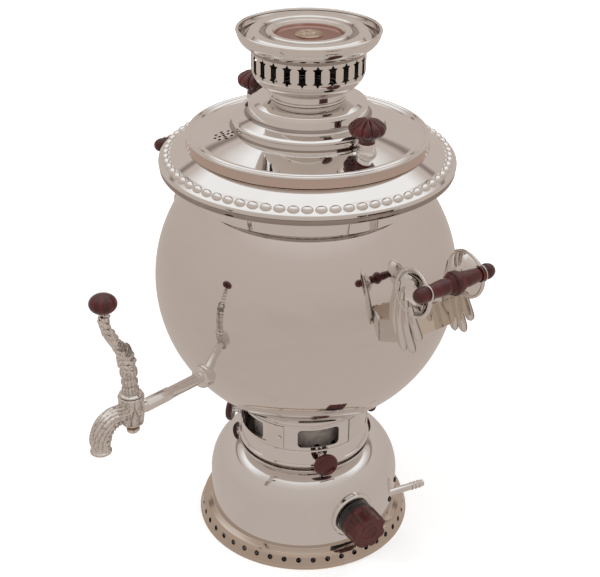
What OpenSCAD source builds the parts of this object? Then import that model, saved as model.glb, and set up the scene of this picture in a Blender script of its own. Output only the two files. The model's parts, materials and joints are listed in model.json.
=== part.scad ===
/* [Base] */
// Radius of the foot ring where it stands on the table
foot_r = 102; // [96:1:120]
// Height of the slanted, pierced foot band
foot_h = 16; // [14:0.5:20]
// Number of round air holes in the foot band
air_holes = 46; // [24:1:54]
// Diameter of one air hole
air_hole_d = 4.4; // [3:0.1:6]
// Outer radius of the base dome's upright wall
base_wall_r = 90; // [86:1:94]
// Height at which the dome's wall starts to turn in
base_shoulder_z = 47; // [44:1:58]
// Height of the dome's upper edge
base_top_z = 86; // [82:1:90]
// Thickness of the spun sheet
sheet = 1.2; // [0.8:0.1:1.5]

/* [Gas gear] */
// Direction of the gas knob, degrees round from the +X side
gas_knob_turn = -15.5; // [-30:0.5:0]
// Height of the gas valve's spindle
gas_knob_z = 46; // [40:0.5:50]
// Largest radius of the gas knob
gas_knob_r = 18; // [14:0.5:21]
// Distance of the gas knob's face from the base wall
gas_knob_reach = 29.5; // [26:0.5:36]
// Height of the gas inlet tail
inlet_z = 38; // [36:0.5:40]
// Direction in which the inlet tail leaves, degrees
inlet_dir = 70.1; // [66:0.1:74]
// Place where the tail crosses the base wall, degrees round
inlet_turn = 22.9; // [20:0.1:26]
// Outer radius of the inlet tail's shank
inlet_r = 3.5; // [3:0.1:4.5]
// Length of the inlet tail outside the base
inlet_len = 36; // [28:1:44]
// Radius of the burner head
burner_r = 31; // [24:1:38]

/* [Neck] */
// Outer radius of the neck skirt
neck_r = 60.7; // [58:0.1:64]
// Height of the skirt's lower edge
skirt_z = 88; // [87:0.5:92]
// Height of the crease between skirt and collar
crease_z = 105; // [103:0.5:107]
// Lower edge of the collar's windows
window_z = 108.5; // [108:0.5:110]
// Height of the windows
window_h = 19; // [14:0.5:20]
// Number of windows round the collar
windows = 5; // [4:1:6]
// Width of one window, degrees
window_w = 38; // [20:1:40]
// Radius of a thumb screw's head
screw_head_r = 10.4; // [8:0.2:12]
// Radius of a thumb screw's stem
screw_stem_r = 2.5; // [2:0.1:3]
// Distance of a thumb screw's face from the neck's centre
screw_reach = 78; // [74:0.5:84]

/* [Bowl] */
// Outer radius of the round bowl
bowl_r = 135; // [132:1:138]
// Height of the bowl's centre
bowl_z = 258; // [257:0.5:260]
// Radius of the bowl's mouth
mouth_r = 98; // [92:1:99]
// Outer radius of the flue tube
flue_r = 25; // [20:0.5:27]

/* [Flange] */
// Outer radius of the beaded flange
flange_r = 127.6; // [124:0.2:130]
// Height of the flange's outer edge
flange_z = 371; // [369:0.5:372]
// Number of beads round the flange
beads = 70; // [48:1:76]
// Radius across one bead
bead_r = 3.6; // [2.5:0.1:4]

/* [Lid] */
// Outer radius of the lid's upright wall
lid_r = 102.5; // [100:0.5:104]
// Height of the lid wall's lower edge
lid_z = 386.4; // [386.2:0.1:388]
// Height of the lid wall up to its double ridge
lid_wall_h = 7; // [5:0.5:10]
// Radius of the lid's raised middle step
step_r = 64; // [58:0.5:68]
// Radius of the upper, rounded step
step_top_r = 50.5; // [44:0.5:54]
// Outer radius of the lid's neck tube
lid_neck_r = 30.4; // [28.5:0.2:32]
// Distance of the lid knobs from the centre
lid_knob_at = 75.5; // [72:0.5:84]
// Largest radius of a lid knob
lid_knob_r = 15.5; // [10:0.5:17]
// Number of steam holes in the rosette's outer round
steam_holes = 8; // [6:1:10]
// Diameter of one steam hole
steam_hole_d = 2.2; // [1.6:0.1:3]

/* [Crown] */
// Height of the crown's underside
crown_z = 434; // [433.6:0.1:436]
// Outer radius of the pierced drum
crown_r = 47.8; // [46:0.2:50]
// Height of the crown from its underside to its rim
crown_h = 50; // [49:0.5:54]
// Outer radius of the crown's rim
crown_rim_r = 60; // [57:0.5:62]
// Number of pierced motifs round the drum
motifs = 24; // [12:1:24]
// Radius of the top plate
plate_r = 56.5; // [54:0.5:56.5]
// Radius of the flat middle of the top plate
plate_flat_r = 28; // [22:1:28]

/* [Tap] */
// Distance of the tap plug's axis from the centre
tap_at = 204.5; // [200:0.5:210]
// Height of the tap pipe
tap_z = 205.5; // [203:0.5:208]
// Outer radius of the tap pipe
tap_pipe_r = 5.2; // [4.4:0.1:5.4]
// Bore radius of the tap pipe
tap_bore_r = 3; // [2:0.1:3.2]
// Outer radius of the plug housing
tap_barrel_r = 11; // [10.5:0.1:12]
// Radius of the turning plug
tap_plug_r = 7; // [6:0.1:7.5]
// Distance from the plug's axis to the middle of the spout's mouth
spout_at = 33.5; // [31:0.5:36]
// Outer radius of the spout
spout_r = 8; // [7.4:0.1:8.4]
// Height of the spout's mouth
spout_z = 183; // [178:0.5:186]
// Height of the lever's knob
lever_knob_z = 315; // [300:1:325]
// Distance that the lever leans outwards
lever_lean = 20.9; // [10:0.5:24]
// Radius of the lever's knob
lever_knob_r = 11.2; // [8:0.2:12]

/* [Handles] */
// Turn of the two side handles away from the +X and -X sides
side_turn = -9; // [-12:0.5:0]
// Distance of the grips' axes from the centre
grip_at = 188; // [182:0.5:192]
// Height of the grips' axes
grip_z = 329; // [326:0.5:331]
// Distance between the two ears of a handle, inside
ear_gap = 52; // [44:1:60]
// Thickness of an ear
ear_t = 3; // [2:0.1:4]
// Radius of an ear's round head
ear_head_r = 20.5; // [19:0.5:22]
// Radius of the grip
grip_r = 6.8; // [5:0.1:9]
// Radius of the grip's centre ring
grip_ring_r = 10; // [9.5:0.1:13]
// Length of an end finial
finial_len = 12; // [8:0.5:18]
// Radius of the tie rods
rod_r = 2; // [1.5:0.1:2.5]

/* [Clearances] */
// Running clearance of turning parts, on the radius
run = 0.05; // [0.02:0.01:0.1]
// Gap between parts that lift or slide apart
gap = 0.3; // [0.2:0.05:0.4]

/* [Hidden] */
$fn = 72;

// ---- derived sizes: base and neck ----
collar_r = neck_r - sheet;
collar_t = 1;
upstand_r = collar_r - collar_t - gap;
upstand_top = crease_z - 2;
wall_in = base_wall_r - sheet;
foot_hem = 1.5;
air_z = 0.62 * foot_h;
air_at = foot_r - 3;
screw_z = crease_z - 7;
screw_tip = upstand_r + gap;
screw_turns = [-30.5, 73.5, 208.5];
screw_head_t = 6.5;

// ---- derived sizes: gas gear ----
spindle_r = 4;
bezel_r = gas_knob_r + 4;
bezel_front = base_wall_r + 2.2;
skirt_t = 8.5;
knob_back = bezel_front + gap + skirt_t;
knob_face = base_wall_r + gas_knob_reach;
valve_at = 66;
valve_r = 9;
valve_end = 80;
inlet_root = base_wall_r * [cos(inlet_turn), sin(inlet_turn)];
valve_xy = valve_at * [cos(gas_knob_turn), sin(gas_knob_turn)];
inlet_inside = norm(inlet_root - valve_xy);
injector_r = 10;
injector_foot = gas_knob_z - 7;
injector_top = gas_knob_z + 6;
burner_z = base_top_z - 2;
burner_h = 11;
plate_z = foot_h;
plate_t = 1.5;
guard_r = upstand_r - 10;
guard_top = bowl_z - sqrt(bowl_r * bowl_r - guard_r * guard_r) - 6;

// ---- derived sizes: shutter ----
window_pitch = 360 / windows;
window_turn = -33;
band_r = collar_r + gap;
band_t = 0.9;
band_top = window_z + window_h + 2.5;
band_gap_from = -64.5;
band_gap_to = -2.5;
band_window_turn = -100.5;
pin_turn = -68.5;
pin_z = window_z + 0.46 * window_h;

// ---- derived sizes: bowl, flange and lid ----
mouth_z = bowl_z + sqrt(bowl_r * bowl_r - mouth_r * mouth_r);
flue_foot_z = bowl_z - sqrt(bowl_r * bowl_r - flue_r * flue_r) - 3;
flue_top_z = crown_z - 0.6;
bead_at = flange_r - 6.6;
slope_in_r = lid_r - 1.2;
slope_top_z = lid_z - 0.4;
slope_out_r = bead_at - bead_r;
lip_drop = 6.4;
lip_z = flange_z + 2.8;
bead_in_z = lip_z + 5;
lid_top_z = lid_z + lid_wall_h;
lid_rise_r = lid_r - 8.5;
lid_slope = 0.23;
step_foot_z = lid_top_z + 1.4 + lid_slope * (lid_rise_r - step_r);
step_top_z = crown_z - 7.4;
stem_r = 7;
stem_top = step_foot_z + 6;
knob_mid = stem_top + 12;
rosette_at = step_r + 10;
rosette_turn = -117;
rosette_r = 7.5;

// ---- derived sizes: crown and top plate ----
spigot_r = flue_r + 3.6;
crown_foot_r = spigot_r + gap;
cup_h = 18;
drum_top = crown_z + 35;
flare_h = crown_h - 35;
motif_z = crown_z + cup_h + 5.5;
plate_edge_u = asin((plate_r + sheet - crown_r) / (crown_rim_r - crown_r)) / 90;
plate_z0 = flare(plate_edge_u).y + 0.7 * sheet + gap / 2;
plate_up = 4.4;
plate_groove = 2;

// ---- derived sizes: tap ----
barrel_top = tap_z + 17;
barrel_foot = tap_z - 10;
bend_r = spout_at - 17;
spout_axis_z = tap_z + 4;
spout_bore_r = spout_r - 3;
octagon_from = tap_at - 38.5;
octagon_to = tap_at - 17;
tap_wall = sqrt(bowl_r * bowl_r - (tap_z - bowl_z) * (tap_z - bowl_z));
tap_thread_end = tap_wall - 18.4;
collar_face = tap_wall + 7.6;
nut_in = tap_wall - 13.4;
seal_in = tap_wall - 7.4;
nut_r = 6;
nut_h = 5;
plug_foot = barrel_foot - gap - nut_h - 4;
lever_foot = barrel_top + gap + 3;

// ---- derived sizes: handles ----
ear_in = ear_gap / 2;
leg_t = 2.4;
bridge_at = bowl_r + 22.5;
bridge_z = grip_z - 48;
strap_h = 20;
strap_lean = 25;
head_x = grip_at - 16;
head_z = grip_z - 7;
cup_r = ear_head_r - 2.6;
bulge = 4.4;
dome_ball_r = (cup_r * cup_r + bulge * bulge) / (2 * bulge);
dome_ball_at = ear_in + 0.4 - bulge + dome_ball_r;
dome_t = 2.2;
foot_len = 16;
rivet_r = 2.4;
rivet_at = ear_in - 9.4;

// ---- helpers ----

// Unit normal on the right-hand side of the step from a to b
function side_of(a, b) = let (d = b - a) [d.y, -d.x] / norm(d);

// Line p moved to its right by t at every point
function moved(p, t) = [
    for (i = [0 : len(p) - 1])
        let (
            a = side_of(p[max(i - 1, 0)], p[max(i, 1)]),
            b = side_of(p[min(i, len(p) - 2)], p[min(i + 1, len(p) - 1)])
        )
        p[i] + t * (a + b) / (1 + a * b)
];

// Line p from its last point to its first
function reversed(p) = [for (i = [len(p) - 1 : -1 : 0]) p[i]];

// Points on an ellipse's arc round centre c with half axes r
function arc(c, r, from, to, n = 6) = [
    for (i = [0 : n])
        let (a = from + (to - from) * i / n)
        c + [r.x * cos(a), r.y * sin(a)]
];

// Point of the crown's flare at share u of its way to the rim
function flare(u) = [
    crown_r + (crown_rim_r - crown_r) * sin(90 * u),
    drum_top + flare_h * (0.75 * (1 - cos(90 * u)) + 0.25 * u)
];

// Point of the crown's cup at share u of its way up to the drum
function cup(u) = [
    crown_foot_r + 4 + (crown_r - crown_foot_r - 4) * sin(90 * u),
    crown_z + cup_h * (0.5 * (1 - cos(90 * u)) + 0.5 * u)
];

// Sheet of thickness t spun about Z, on the left of the line p
module spun(p, t = sheet) {
    rotate_extrude() polygon(concat(p, reversed(moved(p, -t))));
}

// Upright tube
module tube(outer, inner, from, to) {
    difference() {
        translate([0, 0, from]) cylinder(h = to - from, r = outer);
        translate([0, 0, from - 1]) cylinder(h = to - from + 2, r = inner);
    }
}

// Solid of revolution lying along +X, from its outline [[x, radius], ...]
module turned_x(outline) {
    rotate([0, 90, 0]) rotate_extrude() polygon([
        [0, outline[0].x],
        for (q = outline) [q.y, q.x],
        [0, outline[len(outline) - 1].x]
    ]);
}

// Cylinder along +X from one distance to another, at height z
module bar_x(from, to, r, z = 0) {
    translate([from, 0, z]) rotate([0, 90, 0]) cylinder(h = to - from, r = r);
}

// Cylinder along -Y from one distance to another, at height z
module bar_y(from, to, r, z, fn = $fn) {
    translate([0, -from, z]) rotate([90, 0, 0]) cylinder(h = to - from, r = r, $fn = fn);
}

// ---- base ----

module base_foot_ring() {
    band = [
        [foot_r - 2, 0], [foot_r, 0.8], [foot_r, 2.6], [foot_r - 1, 4],
        [foot_r - 3.5, 0.78 * foot_h], [foot_r - 6.5, 0.94 * foot_h], [base_wall_r, foot_h],
        [wall_in - 1, foot_h]
    ];
    color("silver") difference() {
        union() {
            spun(band, foot_hem);
            tube(foot_r - 1.5, foot_r - 7, 0, foot_hem);
        }
        for (i = [0 : air_holes - 1])
            rotate([0, 0, (i + 0.8) * 360 / air_holes])
                bar_x(air_at - 8, air_at + 8, air_hole_d / 2, air_z);
    }
}

// Outer line of the dome, from the foot to the upstand
dome_in = neck_r + 0.3;
dome_line = concat(
    [[base_wall_r, foot_h]],
    arc([dome_in, base_shoulder_z], [base_wall_r - dome_in, base_top_z - base_shoulder_z], 0, 90, 10),
    [[upstand_r, base_top_z]]
);

module base_dome() {
    color("silver") difference() {
        spun(dome_line);
        rotate([0, 0, gas_knob_turn]) bar_x(valve_end, base_wall_r + 9, spindle_r + 2, gas_knob_z);
        inlet_line() bar_x(-14, 14, inlet_r + 0.5);
        inlet_screw_places() bar_x(-9, 9, 1.5);
    }
}

module base_plate() {
    color("lightgray") {
        difference() {
            translate([0, 0, plate_z]) cylinder(h = plate_t, r = wall_in);
            for (i = [0 : 7]) rotate([0, 0, 45 * i + 22.5])
                translate([46, 0, plate_z - 1]) cylinder(h = 4, r = 11);
        }
        translate([0, 0, plate_z + plate_t]) cylinder(h = injector_foot - plate_z - plate_t, r = 6);
    }
}

module upstand_ring() {
    color("silver") tube(upstand_r, upstand_r - sheet, base_top_z - 6, upstand_top);
}

module knob_bezel() {
    color("silver") difference() {
        rotate([0, 0, gas_knob_turn]) translate([0, 0, gas_knob_z]) turned_x([
            [base_wall_r - 8, bezel_r], [bezel_front - 0.9, bezel_r], [bezel_front, bezel_r - 0.9]
        ]);
        rotate_extrude($fn = 360) polygon(concat([[0, 0], [base_wall_r, 0]], dome_line, [[0, base_top_z]]));
        rotate([0, 0, gas_knob_turn]) bar_x(valve_end, base_wall_r + 9, spindle_r + 2, gas_knob_z);
    }
}

// ---- gas gear ----

// Places children on the inlet tail's axis, with x counted from the base wall outwards
module inlet_line() {
    translate([inlet_root.x, inlet_root.y, inlet_z]) rotate([0, 0, inlet_dir]) children();
}

// Places children at the two small screws beside the inlet tail
module inlet_screw_places() {
    for (k = [-1, 1]) rotate([0, 0, inlet_turn + 4 + 6 * k])
        translate([base_wall_r, 0, inlet_z - 1 + 5 * k]) children();
}

module valve_body() {
    color("goldenrod") difference() {
        union() {
            rotate([0, 0, gas_knob_turn]) bar_x(valve_at - 10, valve_end, valve_r, gas_knob_z);
            translate([valve_xy.x, valve_xy.y, plate_z + plate_t])
                cylinder(h = gas_knob_z - plate_z - plate_t, r = valve_r - 0.6);
        }
        rotate([0, 0, gas_knob_turn]) bar_x(valve_at - 4, valve_end + 1, spindle_r + run, gas_knob_z);
        inlet_line() bar_x(-inlet_inside + 3, 0, inlet_r);
        inlet_line() bar_x(-inlet_inside, 0, inlet_r - 1.5);
        translate([valve_xy.x, valve_xy.y, inlet_z]) cylinder(h = gas_knob_z - inlet_z, r = 1.6);
        rotate([0, 0, gas_knob_turn]) bar_x(valve_at - 11, valve_at - 7, 4, gas_knob_z);
        rotate([0, 0, gas_knob_turn]) bar_x(valve_at - 8, valve_at - 3, 2.6, gas_knob_z);
    }
}

module inlet_tail() {
    ridge = inlet_r + 0.5;
    valley = inlet_r - 0.2;
    tip = inlet_len - 1;
    color("silver") inlet_line() difference() {
        turned_x(concat(
            [[-inlet_inside + 3, inlet_r], [tip - 14, inlet_r]],
            [for (k = [0 : 2], q = [[0.4, ridge], [0.9, ridge], [4, valley]]) [tip - 13 + 4 * k, 0] + q],
            [[inlet_len, inlet_r - 0.8]]
        ));
        bar_x(-inlet_inside + 2, inlet_len + 1, inlet_r - 1.5);
    }
}

module inlet_screws() {
    color("dimgray") inlet_screw_places() {
        bar_x(-4, 0.5, 1.5);
        turned_x([[0.05, 2.6], [0.9, 2.4], [1.5, 1.6]]);
    }
}

module gas_pipe() {
    color("goldenrod") rotate([0, 0, gas_knob_turn]) difference() {
        bar_x(injector_r - 2, valve_at - 7, 4, gas_knob_z);
        bar_x(0, valve_at, 2.6, gas_knob_z);
    }
}

module injector() {
    color("gold") difference() {
        union() {
            translate([0, 0, injector_foot]) cylinder(h = injector_top - injector_foot, r = injector_r);
            translate([0, 0, injector_top]) cylinder(h = 5, r1 = 4, r2 = 2);
        }
        rotate([0, 0, gas_knob_turn]) bar_x(injector_r - 2, injector_r + 2, 4, gas_knob_z);
        rotate([0, 0, gas_knob_turn]) bar_x(0, injector_r, 2.6, gas_knob_z);
        translate([0, 0, gas_knob_z]) cylinder(h = 20, r = 0.8);
    }
}

module mixing_tube() {
    color("lightgray") difference() {
        tube(9, 7.6, injector_top, burner_z);
        for (i = [0 : 3]) rotate([0, 0, 90 * i + 45]) bar_x(5, 12, 3, injector_top + 7);
    }
}

module burner_head() {
    cup_line = [
        [7.6, burner_z], [burner_r - 4, burner_z], [burner_r, burner_z + 3], [burner_r, burner_z + burner_h - 3]
    ];
    color("gray") difference() {
        spun(cup_line, 1.6);
        for (i = [0 : 23]) rotate([0, 0, 15 * i])
            bar_x(burner_r - 4, burner_r + 2, 1.3, burner_z + 5.2);
    }
}

module burner_cap() {
    top = burner_z + burner_h - 3;
    color("dimgray") rotate_extrude() polygon([
        [0, top], [burner_r, top], [burner_r + 1.5, top + 1], [burner_r - 2, top + 2.6], [0, top + 4]
    ]);
}

module flame_guard() {
    color("silver") difference() {
        union() {
            tube(guard_r, guard_r - 1, base_top_z, guard_top);
            tube(upstand_r - sheet - run, guard_r - 0.5, base_top_z, base_top_z + 1);
        }
        for (i = [0 : 17]) rotate([0, 0, 20 * i + 8])
            bar_x(guard_r - 4, guard_r + 3, 2.6, base_top_z + 16);
    }
}

module valve_spindle() {
    color("goldenrod") rotate([0, 0, gas_knob_turn]) difference() {
        bar_x(valve_at - 3.5, knob_face - 8, spindle_r, gas_knob_z);
        bar_x(valve_at - 4, valve_at, 1.6, gas_knob_z);
        translate([valve_at, 0, gas_knob_z]) cylinder(h = 5, r = 1.6);
    }
}

module knob_skirt() {
    front = bezel_front + gap;
    r = gas_knob_r - 1.5;
    color([0.08, 0.08, 0.09]) rotate([0, 0, gas_knob_turn]) translate([0, 0, gas_knob_z]) difference() {
        turned_x([
            [front, r - 1], [front + 1, r], [knob_back - 1, r], [knob_back, r - 1]
        ]);
        bar_x(front - 1, knob_back + 1, spindle_r);
    }
}

module gas_knob() {
    face_r = 0.94 * gas_knob_r;
    flutes = 7;
    color([0.33, 0.1, 0.09]) rotate([0, 0, gas_knob_turn]) translate([0, 0, gas_knob_z]) difference() {
        turned_x([
            [knob_back, gas_knob_r], [knob_back + 2.5, gas_knob_r], [knob_face - 1.2, face_r + 0.6],
            [knob_face, face_r - 1], [knob_face, 6.5], [knob_face - 0.8, 6.2], [knob_face - 0.8, 0.01]
        ]);
        bar_x(knob_back - 1, knob_face - 8, spindle_r);
        for (i = [0 : flutes - 1]) rotate([i * 360 / flutes, 0, 0])
            translate([knob_back + 3, 0, gas_knob_r + 4.6]) rotate([0, 94, 0])
                cylinder(h = 30, r = 7.5);
    }
}

// ---- neck ----

// Places children at screw k, with x pointing away from the neck's axis
module at_screw(k) {
    rotate([0, 0, screw_turns[k]]) translate([0, 0, screw_z]) children();
}

module neck_skirt() {
    outer = [
        [neck_r + 1.2, skirt_z], [neck_r + 1.6, skirt_z + 1], [neck_r + 1.2, skirt_z + 2.2],
        [neck_r, skirt_z + 3], [neck_r, crease_z - 1], [neck_r - 0.5, crease_z]
    ];
    color("silver") difference() {
        rotate_extrude() polygon(concat(
            outer, [[neck_r - sheet, crease_z], [neck_r - sheet, skirt_z]]
        ));
        for (k = [0 : 2]) at_screw(k) bar_x(50, 70, screw_stem_r + run);
    }
}

module neck_collar() {
    color("silver") difference() {
        union() {
            tube(collar_r, collar_r - collar_t, base_top_z, bowl_z - 0.8 * bowl_r);
            tube(band_r + band_t, collar_r - 0.5, band_top + gap, band_top + gap + 1.8);
        }
        translate([0, 0, bowl_z]) sphere(r = bowl_r, $fn = 120);
        for (k = [0 : 2]) at_screw(k) bar_x(50, 70, screw_stem_r + run);
        for (i = [0 : windows - 1]) rotate([0, 0, window_turn + i * window_pitch])
            window(window_w, window_z, window_h, 4);
    }
}

// Cutter for a slot in the neck's wall, w degrees wide, with square corners
module slot(w, z, h) {
    rotate([0, 0, -w / 2]) translate([0, 0, z]) rotate_extrude(angle = w)
        translate([50, 0]) square([20, h]);
}

// Cutter for a window in the neck, w degrees wide, with corners of radius c
module window(w, z, h, c) {
    half = w / 2 - asin(c / collar_r);
    slot(2 * half, z, h);
    for (a = [-half, half]) rotate([0, 0, a]) {
        for (k = [c, h - c]) bar_x(50, 70, c, z + k);
        translate([50, -c, z + c]) cube([20, 2 * c, h - 2 * c]);
    }
}

module shutter_band() {
    from = crease_z + gap;
    span = 360 - (band_gap_to - band_gap_from);
    color("silver") difference() {
        rotate([0, 0, band_gap_to]) translate([0, 0, from]) rotate_extrude(angle = span)
            translate([band_r, 0]) square([band_t, band_top - from]);
        for (i = [0 : windows - 2]) rotate([0, 0, band_window_turn - i * window_pitch])
            slot(window_w, window_z, window_h);
        rotate([0, 0, pin_turn]) bar_x(50, 70, 1.2, pin_z);
    }
}

module shutter_pin() {
    color("silver") rotate([0, 0, pin_turn]) translate([0, 0, pin_z]) {
        bar_x(band_r + 0.1, band_r + band_t, 1.2);
        turned_x([[band_r + band_t, 2], [band_r + band_t + 1.4, 2], [band_r + band_t + 2, 1.4]]);
    }
}

module screw_stem(k) {
    back = screw_reach - screw_head_t;
    color("silver") at_screw(k) {
        bar_x(screw_tip, back, screw_stem_r);
        turned_x([[back - 2.4, screw_stem_r - 0.5], [back - 1.6, 4.6], [back, 4.6]]);
    }
}

module screw_head(k) {
    back = screw_reach - screw_head_t;
    color([0.33, 0.1, 0.09]) at_screw(k) turned_x([
        [back, screw_head_r - 3], [back + 1.2, screw_head_r - 0.6], [back + 2.8, screw_head_r],
        [back + 4.6, screw_head_r - 0.5], [back + 5.8, screw_head_r - 2.2], [back + 6.3, screw_head_r - 5],
        [screw_reach, 0.01]
    ]);
}

module screw_stem_front() screw_stem(0);
module screw_head_front() screw_head(0);
module screw_stem_right() screw_stem(1);
module screw_head_right() screw_head(1);
module screw_stem_left() screw_stem(2);
module screw_head_left() screw_head(2);

// ---- bowl ----

// Places children at each strap rivet, with x along the bowl's own radius
module rivet_places(sides = [0, 180]) {
    for (side = sides, s = [-1, 1], up = [-1, 1])
        translate([0, 0, bowl_z]) rotate([0, 0, side_turn + side + s * asin(rivet_at / bowl_r)])
            rotate([0, -4.9 - 1.9 * up, 0]) children();
}

module bowl() {
    color("silver") difference() {
        translate([0, 0, bowl_z]) sphere(r = bowl_r, $fn = 160);
        translate([0, 0, bowl_z]) sphere(r = bowl_r - sheet, $fn = 160);
        translate([0, 0, mouth_z]) cylinder(h = bowl_r, r = bowl_r);
        translate([0, 0, bowl_z - bowl_r - 1]) cylinder(h = 40, r = flue_r);
        bar_y(tap_wall - 24, collar_face + 8, tap_pipe_r, tap_z);
        rivet_places() bar_x(bowl_r - 5, bowl_r + 5, rivet_r - 0.8);
    }
}

module flue_tube() {
    color("lightgray") tube(flue_r, flue_r - 1.2, flue_foot_z, flue_top_z);
}

module mouth_flange() {
    top = [
        [flange_r - 1.7, flange_z - lip_drop], [flange_r - 0.7, flange_z - lip_drop + 0.8],
        [flange_r - 0.7, flange_z - 3.2], [flange_r - 1.4, flange_z - 2.4], [flange_r, flange_z - 1],
        [flange_r, flange_z + 1], [flange_r - 0.4, lip_z], [flange_r - 2.6, lip_z + 0.9],
        [slope_out_r, bead_in_z], [slope_in_r, slope_top_z]
    ];
    color("silver") {
        difference() {
            union() {
                spun(top);
                tube(slope_in_r + 2.4, slope_in_r + 1.2, mouth_z - 12, slope_top_z - 1.2);
                for (i = [0 : beads - 1]) rotate([0, 0, i * 360 / beads])
                    translate([bead_at, 0, lip_z + 1.9]) sphere(r = bead_r, $fn = 24);
            }
            translate([0, 0, bowl_z]) sphere(r = bowl_r, $fn = 160);
        }
    }
}

// ---- tap ----

module tap_collar() {
    color("silver") difference() {
        union() {
            bar_y(tap_wall - 14, collar_face - 1.2, 10, tap_z);
            bar_y(collar_face - 1.2, collar_face, 8.6, tap_z);
        }
        translate([0, 0, bowl_z]) sphere(r = bowl_r, $fn = 160);
        bar_y(tap_wall - 24, collar_face + 8, tap_pipe_r, tap_z);
    }
}

module tap_seal() {
    color([0.15, 0.15, 0.15]) difference() {
        intersection() {
            bar_y(seal_in, collar_face + 2, 9.5, tap_z);
            translate([0, 0, bowl_z]) sphere(r = bowl_r - sheet, $fn = 160);
        }
        bar_y(tap_wall - 24, collar_face + 8, tap_pipe_r, tap_z);
    }
}

module tap_back_nut() {
    color("goldenrod") difference() {
        bar_y(nut_in, seal_in, 9, tap_z, 6);
        bar_y(tap_wall - 24, collar_face + 8, tap_pipe_r, tap_z);
    }
}

module tap_body() {
    color("silver") difference() {
        union() {
            bar_y(tap_thread_end, tap_at, tap_pipe_r, tap_z);
            bar_y(octagon_from, octagon_to, 6, tap_z, 8);
            bar_y(octagon_from - 3, octagon_from, 5.6, tap_z);
            bar_y(octagon_to, octagon_to + 2.5, 5.6, tap_z);
            translate([0, -tap_at, 0]) {
                translate([0, 0, barrel_foot]) cylinder(h = barrel_top - barrel_foot, r = tap_barrel_r - 1);
                translate([0, 0, barrel_top - 3]) cylinder(h = 3, r = tap_barrel_r);
                translate([0, 0, barrel_foot]) cylinder(h = 2.5, r = tap_barrel_r);
            }
            bar_y(tap_at, tap_at + spout_at - bend_r, spout_r, spout_axis_z);
            translate([0, -tap_at - spout_at, spout_z])
                cylinder(h = spout_axis_z - bend_r - spout_z, r = spout_r);
            translate([0, -tap_at - spout_at, spout_z]) cylinder(h = 3, r = spout_r + 1.5);
            spout_bend(spout_r);
        }
        translate([0, -tap_at, barrel_foot - 1]) cylinder(h = 40, r = tap_plug_r + run);
        bar_y(tap_thread_end - 1, tap_at - 2, tap_bore_r, tap_z);
        bar_y(tap_at, tap_at + spout_at - bend_r, spout_bore_r, spout_axis_z);
        spout_bend(spout_bore_r);
        translate([0, -tap_at - spout_at, spout_z - 1])
            cylinder(h = spout_axis_z - bend_r - spout_z + 1, r = spout_bore_r);
    }
}

// Quarter bend of the spout, from level to downwards
module spout_bend(r) {
    translate([0, -tap_at - spout_at + bend_r, spout_axis_z - bend_r]) rotate([0, 90, 0]) rotate([0, 0, 180])
        rotate_extrude(angle = 90) translate([bend_r, 0]) circle(r = r);
}

module tap_plug() {
    color("goldenrod") translate([0, -tap_at, 0]) difference() {
        union() {
            translate([0, 0, barrel_foot - gap]) cylinder(h = barrel_top - barrel_foot + 2 * gap, r = tap_plug_r);
            translate([0, 0, plug_foot]) cylinder(h = 12, r = 4);
            translate([0, 0, barrel_top + gap]) cylinder(h = 3, r = tap_barrel_r - 1);
        }
        rotate([0, 90, 0]) translate([-tap_z, 0, -20]) cylinder(h = 40, r = tap_bore_r);
    }
}

module tap_nut() {
    top = barrel_foot - gap;
    color("silver") translate([0, -tap_at, 0]) {
        difference() {
            translate([0, 0, top - 2]) cylinder(h = 2, r = tap_plug_r - 1);
            translate([0, 0, top - 3]) cylinder(h = 4, r = 4);
        }
        difference() {
            translate([0, 0, top - 2 - nut_h]) cylinder(h = nut_h, r = nut_r, $fn = 6);
            translate([0, 0, top - 3 - nut_h]) cylinder(h = nut_h + 2, r = 4);
        }
    }
}

// Middle line of the lever, as share of its lean and of its height, with the radius there
lever_line = [
    [0, 0, 7.2], [0.01, 0.06, 7.2], [0.02, 0.1, 5.8], [0.03, 0.13, 6.8], [0.04, 0.2, 6], [0.05, 0.25, 7.2],
    [0.1, 0.37, 7.2], [0.3, 0.5, 5], [0.63, 0.64, 4.8], [0.93, 0.79, 4.4], [1, 0.89, 4.6], [1, 0.95, 3.3], [1, 1, 3.3]
];

// Point i of the lever, x as the lean and y as the height
function lever_at(i) = [
    lever_lean * lever_line[i].x,
    lever_foot + (lever_knob_z - 6.5 - lever_foot) * lever_line[i].y
];

module tap_lever() {
    last = len(lever_line) - 1;
    color("silver") translate([0, -tap_at, 0]) difference() {
        union() {
            for (i = [0 : last - 1])
                lever_rod(lever_at(i), lever_at(i + 1), min(lever_line[i].z, lever_line[i + 1].z) - 0.2);
            for (i = [3, 5, 6, 7, 8, 9, 10])
                translate([0, -lever_at(i).x, lever_at(i).y]) sphere(r = lever_line[i].z + 0.3, $fn = 48);
            lever_rod(lever_at(6), lever_at(6) + [-3, 9], 3);
        }
        translate([0, 0, lever_foot - 10]) cylinder(h = 10, r = 12);
        translate([0, -lever_lean, lever_knob_z - 6.5]) cylinder(h = 10, r = 8);
    }
}

// Round rod between two points of the lever's middle line
module lever_rod(a, b, r) {
    lean = atan2(b.x - a.x, b.y - a.y);
    translate([0, -a.x, a.y]) rotate([lean, 0, 0]) cylinder(h = norm(b - a), r = r);
}

module tap_knob() {
    half = 8;
    color([0.33, 0.1, 0.09]) translate([0, -tap_at - lever_lean, lever_knob_z]) rotate_extrude() polygon(concat(
        [[0, -6.5]],
        arc([0, 0], [lever_knob_r, half], -54, 90, 12)
    ));
}

// ---- side handles ----

// Places children on a handle, x outwards from the bowl's axis, y along the grip
module on_side(side) {
    rotate([0, 0, side_turn + side]) children();
}

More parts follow.
